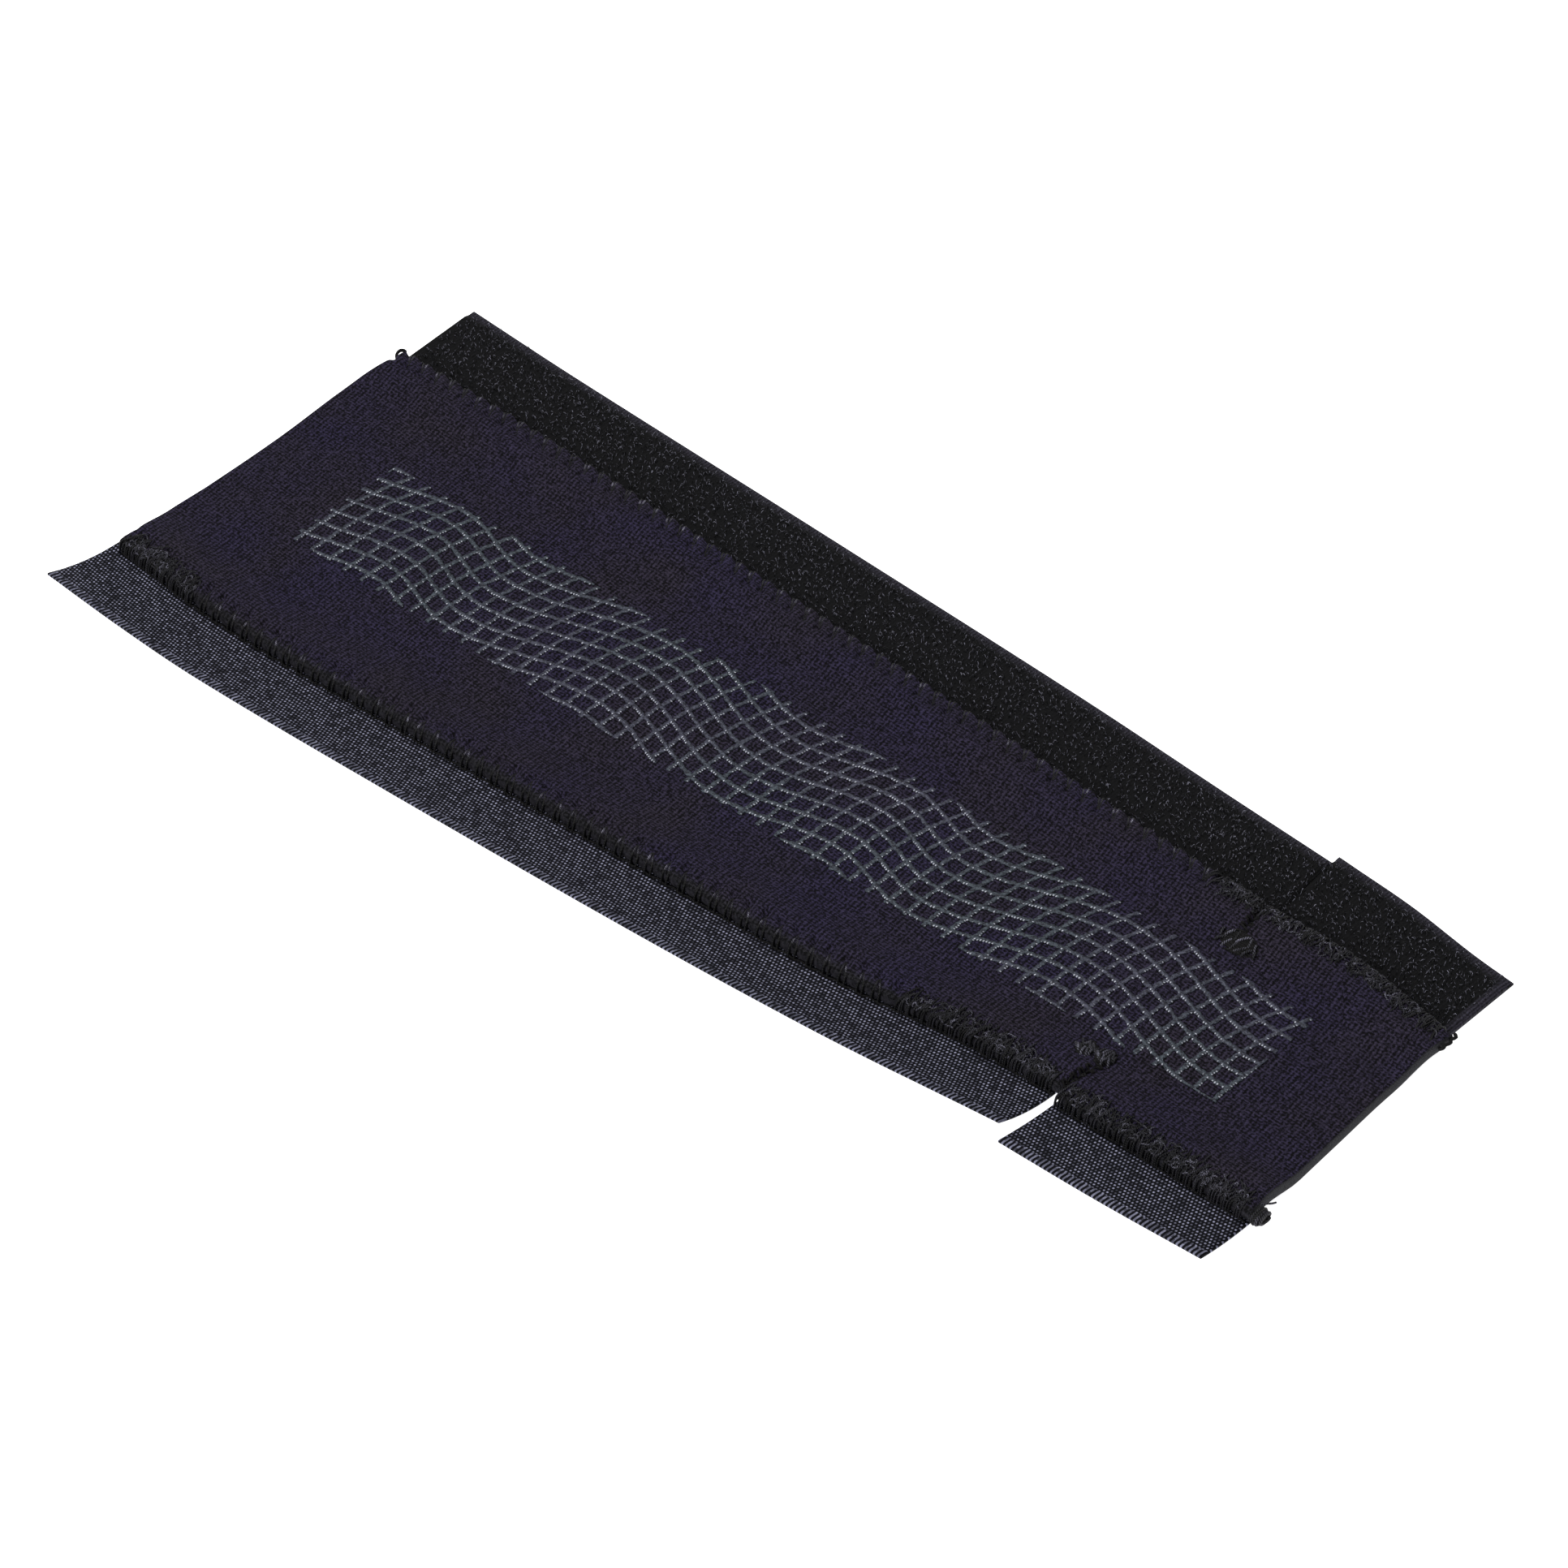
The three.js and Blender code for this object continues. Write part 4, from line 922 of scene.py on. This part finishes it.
black_yarn, add, surface = new_material("black_looper_thread", Roughness=0.8, Specular_IOR_Level=0.15)
fuzz = add("TexNoise", {"Vector": add("UVMap", uv_map="UVMap"), "Scale": 3.0, "Detail": 3.0})
shade = add("MapRange", {0: fuzz, 1: 0.4, 2: 0.7})
colour = add("Mix", {0: shade, 6: linear("#050505"), 7: linear("#1d1c1d")}, data_type="RGBA")
wire(surface, {"Base Color": colour})


def rounded(paths, passes=2):
    """Corner cutting: each pass puts two points at a quarter and three quarters of every stretch."""
    for _ in range(passes):
        near = paths[:, :-1] * 0.75 + paths[:, 1:] * 0.25
        far = paths[:, :-1] * 0.25 + paths[:, 1:] * 0.75
        cut = np.stack([near, far], 2).reshape(len(paths), -1, 3)
        paths = np.concatenate([paths[:, :1], cut, paths[:, -1:]], 1)
    return paths


def sewn_face(inwards, x, inset):
    """Height of the face beside one seam, inset from its edge."""
    return face_height(x, FAR + 0 * x, inset) if inwards > 0 else face_height(x, inset, FAR + 0 * x)


def strands_over_edge(seam, inwards, tape_height, edge_x, hole_x, depth, lift):
    """Paths from the tape up beside the edge, over its rim, on the face to the needle hole and down into it.
    lift is how high the strand's middle runs over the face. A stop has its share of the way from edge_x to
    hole_x, its distance in from the edge, and its height, None on the face."""
    lean = hole_x - edge_x
    rim = sewn_face(inwards, edge_x, 0 * edge_x)
    stops = []
    for travel, inset, z in (
            (0.0, -0.5 + 0 * depth, tape_height + 0.1 + 0 * rim),
            (0.0, -0.42 + 0 * depth, rim - 0.8),
            (0.02, -0.12 + 0 * depth, rim + 0.05 + lift),
            (0.15, 0.15 * depth, None),
            (0.5, 0.5 * depth, None),
            (0.9, 0.92 * depth, None)):
        x = edge_x + lean * travel
        if z is None:
            z = sewn_face(inwards, x, inset) + lift
        stops.append(np.stack([x, seam(x) + inwards * inset, z], -1))
    sunk = sewn_face(inwards, hole_x, depth) - 0.6
    stops.append(np.stack([hole_x, seam(hole_x) + inwards * (depth + 0.1), sunk], -1))
    return rounded(np.stack(stops, 1))


def seam_strands(seam, inwards, rows, tape_height):
    """The strands of the plain stitches, a leg and a return in each, and those of the overlocked ones, a
    matted bundle that crosses itself, with chance in their places. Gives both arrays of paths."""
    plain_runs, matted_runs = [], []
    sewn = partial(strands_over_edge, seam, inwards, tape_height)
    reach = rows[0]["first"] - 0.6, rows[-1]["first"] + rows[-1]["count"] * rows[-1]["pitch"] + 0.4
    for row in rows:
        edge_x = row["first"] + row["pitch"] * np.arange(row["count"])
        if row["groove"] == GROOVE_DEPTH:
            edge_x = edge_x + draw.uniform(-0.15, 0.15, len(edge_x))
            depth = row["depth"] + draw.uniform(-0.35, 0.3, len(edge_x))
            plain_runs.append(sewn(edge_x, edge_x + row["lean"], depth, 0.04))
            back_x = edge_x + 0.3 * row["pitch"] * np.sign(row["lean"]) + draw.uniform(-0.2, 0.2, len(edge_x))
            plain_runs.append(sewn(back_x, edge_x + row["lean"] + 0.1, depth - 0.3, -0.05))
            continue
        for strand in range(OVERLOCK_STRANDS):
            shift = (strand - 1.5) * row["pitch"] / OVERLOCK_STRANDS
            start = edge_x + shift + draw.uniform(-0.45, 0.45, len(edge_x))
            slant = draw.uniform(-1.6, 2.4, len(edge_x)) * np.sign(row["lean"])
            depth = row["depth"] + draw.uniform(-1.7, 0.7, len(edge_x))
            lift = 0.06 + 0.3 * draw.uniform(0, 1, len(edge_x))
            matted_runs.append(sewn(np.clip(start, *reach), np.clip(start + slant, *reach), depth, lift))
    return np.concatenate(plain_runs), np.concatenate(matted_runs)


def matted_curls(seam, inwards, rows):
    """Short loose curls all over the overlocked stretches: a bent line in any direction, which rises and
    falls as a half sine."""
    runs = []
    for row in rows:
        if row["groove"] == GROOVE_DEPTH:
            continue
        length = row["pitch"] * row["count"]
        count = round(length * row["depth"] / CURL_SPACING ** 2)
        x = row["first"] + draw.uniform(CURL_MARGIN, length - CURL_MARGIN, (count, 1))
        inset = row["depth"] * draw.uniform(0.05, 0.8, (count, 1))
        t = np.linspace(0, 1, 9)
        heading = draw.uniform(0, 2 * np.pi, (count, 1))
        angle = heading + draw.uniform(-CURL_BEND, CURL_BEND, (count, 1)) * (t - 0.5)
        step = draw.uniform(*CURL_STEP, (count, 1))
        path_x = x + np.cumsum(step * np.cos(angle), 1)
        path_x += x - path_x.mean(1, keepdims=True)
        path_inset = np.clip(inset + np.cumsum(step * np.sin(angle), 1), 0, None)
        z = sewn_face(inwards, path_x, path_inset) + draw.uniform(*CURL_RISE, (count, 1)) * np.sin(np.pi * t)
        runs.append(np.stack([path_x, seam(path_x) + inwards * path_inset, z], -1))
    return np.concatenate(runs)


def looper(seam, inwards, first, last, tape_height):
    """The thread along the edge: it lies on the tape and swings out a little at each stitch."""
    x = np.linspace(first, last, round((last - first) / LOOPER_STEP))
    turn = 2 * np.pi * x / STITCH_PITCH
    y = seam(x) - inwards * (LOOPER_OFF + LOOPER_SWING * np.sin(turn))
    z = tape_height + LOOPER_LIFT + LOOPER_NOD * np.cos(turn)
    return np.stack([x, y, z], -1)[None]


def thread_piece(name, stands_for, *groups):
    """One mesh from groups of paths, each with its radius and material."""
    parts = [tubes(name, paths, radius, THREAD_SIDES, material) for paths, radius, material in groups]
    with bpy.context.temp_override(active_object=parts[0], selected_editable_objects=parts):
        bpy.ops.object.join()
    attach(parts[0], "root")
    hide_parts(stands_for)


CORNER_RADIUS = 0.34
LEFT_CORNER_LOOP = ((0.2, 2.4, 1.3), (1.2, 1.7, 1.8), (1.3, 0.5, 2.1), (0.5, -0.3, 1.8), (0.1, 0.9, 1.6))
RIGHT_CORNER_LOOPS = ((-0.1, -0.8, 1.5), (0.9, 0.0, 2), (0.1, 0.7, 1.5), (1.0, 1.6, 1.9), (0.2, 2.4, 1.5),
                      (0.7, 3.2, 1.7), (0, 3.6, 1.3))


def corner_loop(end, direction, places):
    """Loose thread round a corner of the upper seam. Its places are out along it, down from it, and up."""
    out, down, up = np.array(places, float).T
    points = np.stack([end + direction * out, UPPER_SEAM(end) - down, TAPE_SEAM_HEIGHT + up], -1)
    return rounded(points[None], 3)


upper_ends = upper_left - FIRST_STITCH, float(PANEL_RIGHT_END(UPPER_CORNERS_Y[1]))
plain_strands, matted_strands = seam_strands(UPPER_SEAM, -1, upper_rows, UPPER_STRAND_FOOT)
upper_looper = looper(UPPER_SEAM, -1, upper_left, upper_right + LOOPER_END, UPPER_LOOPER_FOOT)
thread_piece(
    "upper_seam_stitches", "upper_seam_thread",
    (plain_strands, THREAD_RADIUS, spun),
    (matted_strands, OVERLOCK_RADIUS, lit_matted_yarn),
    (matted_curls(UPPER_SEAM, -1, upper_rows), CURL_RADIUS, paler_lit_yarn),
    (upper_looper, LOOPER_RADIUS, black_yarn),
    (corner_loop(upper_ends[0], -1, LEFT_CORNER_LOOP), CORNER_RADIUS, black_yarn),
    (corner_loop(upper_ends[1], 1, RIGHT_CORNER_LOOPS), CORNER_RADIUS, black_yarn))
plain_strands, matted_strands = seam_strands(lower_seam, 1, lower_rows, TAPE_SEAM_HEIGHT)
main_looper = looper(LOWER_SEAM_MAIN, 1, lower_left, LOWER_DART_X - DART_GAP, TAPE_SEAM_HEIGHT)
end_looper = looper(LOWER_SEAM_END, 1, LOWER_DART_X + DART_GAP, lower_right + LOOPER_END, TAPE_SEAM_HEIGHT)
thread_piece(
    "lower_seam_stitches", "lower_seam_thread",
    (plain_strands, THREAD_RADIUS, spun),
    (matted_strands, OVERLOCK_RADIUS, lit_matted_yarn),
    (matted_curls(lower_seam, 1, lower_rows), CURL_RADIUS, paler_lit_yarn),
    (main_looper, LOOPER_RADIUS, black_yarn),
    (end_looper, LOOPER_RADIUS, black_yarn))

# The darts' stitching: a black zigzag draws the fold together, and a bar tack holds its tip. The tack is a
# bed of black strands along the panel with strands across it painted paler as lit thread, in one patch or in
# two.

BED_STRANDS = 11
BAR_STRANDS = 12
BAR_RADIUS = 0.25
BAR_RISE = 0.4
BED_RISE = 0.12
ZIGZAG_STITCHES = 9
ZIGZAG_START = 1.2
ZIGZAG_REACH = 1.25
ZIGZAG_LEAN = 0.3
ZIGZAG_RISE = 0.2
# A patch has its middle along from the dart and in from the edge, half width, half reach and the bars' slant.
UPPER_TACKS = ((2.3, 10.4, 4.6, 2.1, -0.3),)
LOWER_TACKS = ((-3.2, 10.6, 1.9, 2.2, -0.5), (0.4, 11.0, 1.8, 2.2, -0.5))


def strands_on_face(seam, inwards, x, inset, rise):
    """Strands through rows of points on the face, arched by rise and sunk at both ends."""
    t = np.linspace(0, 1, x.shape[1])
    z = sewn_face(inwards, x, inset) + rise * np.sin(np.pi * t) ** 0.5 - 0.45 * (np.abs(2 * t - 1) > 0.99)
    return rounded(np.stack([x, seam(x) + inwards * inset, z], -1), 1)


def tack_strands(seam, inwards, dart_x, tack):
    """The bed and the bars of one patch, an ellipse: each strand spans it at its own place."""
    along, inset, half_width, half_reach, slant = tack
    t = np.linspace(-1, 1, 7)
    place = np.linspace(-0.94, 0.94, BED_STRANDS)[:, None]
    span = np.sqrt(1 - place ** 2)
    slanted = draw.uniform(-0.3, 0.3, (BED_STRANDS, 1)) * t
    bed = strands_on_face(seam, inwards, dart_x + along + half_width * span * t,
                          inset + half_reach * place + slanted, BED_RISE)
    place = np.linspace(-0.85, 0.85, BAR_STRANDS)[:, None]
    row = np.where(np.arange(BAR_STRANDS) % 2, 0.45, -0.45)[:, None]
    x = dart_x + along + half_width * place + (slant + draw.uniform(-0.8, 0.8, (BAR_STRANDS, 1))) * t
    stray = draw.uniform(-0.2, 0.2, (BAR_STRANDS, 1))
    inset = inset + half_reach * np.sqrt(1 - place ** 2) * (row + 0.6 * t) + stray
    rise = BAR_RISE + draw.uniform(-0.15, 0.15, (BAR_STRANDS, 1))
    return bed, strands_on_face(seam, inwards, x, inset, rise)


def dart_stitches(name, seam, inwards, dart_x, length, tacks):
    """The zigzag, short strands across the fold that lean one way and the other by turns, and the tacks."""
    places = np.linspace(ZIGZAG_START, tacks[0][1] - tacks[0][3], ZIGZAG_STITCHES)[:, None]
    t = np.linspace(-1, 1, 7)
    x = dart_x + DART_DRIFT * places / length + ZIGZAG_REACH * t
    inset = places + ZIGZAG_LEAN * t * np.where(np.arange(ZIGZAG_STITCHES) % 2, 1, -1)[:, None]
    groups = [(strands_on_face(seam, inwards, x, inset, ZIGZAG_RISE), THREAD_RADIUS, black_yarn)]
    for tack in tacks:
        bed, bars = tack_strands(seam, inwards, dart_x, tack)
        groups += [(bed, BAR_RADIUS, black_yarn), (bars, BAR_RADIUS, paler_lit_yarn)]
    thread_piece(name + "ing", name, *groups)


dart_stitches("upper_dart_stitch", UPPER_SEAM, -1, UPPER_DART_X, UPPER_DART_LENGTH, UPPER_TACKS)
dart_stitches("lower_dart_stitch", LOWER_SEAM_MAIN, 1, LOWER_DART_X, LOWER_DART_LENGTH, LOWER_TACKS)

# The tail: where the lower seam runs off the narrow end, its stitches go on round nothing for a few wraps,
# and a loose end stands out.

TAIL_TURNS = 4
TAIL_RADIUS = 1.05
TAIL_LENGTH = 4.2
TAIL_THREAD_RADIUS = 0.32
TAIL_CORE_RADIUS = 0.6
TURN_POINTS = 16
TAIL_SHIFT = 0.3                  # of its middle from the seam, as a share of its length
TAIL_INSET = 0.3
TAIL_TAPER = 0.75
TAIL_HALF_HEIGHT = 0.8
TAIL_LIFT = 0.4
TAIL_WANDER = 0.15
WANDER_TURNS = 0.37
TAIL_TAG = np.array([[132.6, -29.4, 3.6], [133.5, -28.9, 4.1], [134.2, -28.4, 4.2], [134.4, -27.6, 4.0]])
OVER_FACE = CLEARANCE + THREAD_RADIUS

tail_y = float(LOWER_SEAM_END(PANEL_REACH[0]))
tail_x = float(PANEL_RIGHT_END(tail_y)) + OVER_FACE + TAIL_RADIUS
t = np.linspace(0, 1, TAIL_TURNS * TURN_POINTS + 1)
angle = 2 * np.pi * TAIL_TURNS * t
dome = np.sqrt(1 - TAIL_TAPER * t ** 4)
wander = TAIL_WANDER * np.sin(angle * WANDER_TURNS)
wraps = np.stack([
    tail_x - TAIL_RADIUS + (2 * TAIL_RADIUS + LOOPER_RADIUS - TAIL_THREAD_RADIUS) * t,
    tail_y + TAIL_LENGTH * TAIL_SHIFT + (TAIL_LENGTH / 2 - TAIL_INSET) * dome * np.cos(angle) + wander,
    TAPE_SEAM_HEIGHT + PANEL_EDGE_THICKNESS / 2 + TAIL_LIFT + TAIL_HALF_HEIGHT * dome * np.sin(angle),
], -1)
turns = np.stack([wraps[first:first + TURN_POINTS + 1] for first in range(0, len(wraps) - 1, TURN_POINTS)])
core = wraps * 0.5 + wraps.mean(0) * 0.5
thread_piece(
    "thread_tail_chain", "thread_tail",
    (turns, TAIL_THREAD_RADIUS, lit_matted_yarn),
    (core[None], TAIL_CORE_RADIUS, black_yarn),
    (rounded(TAIL_TAG[None], 3), LOOPER_RADIUS, paler_lit_yarn))
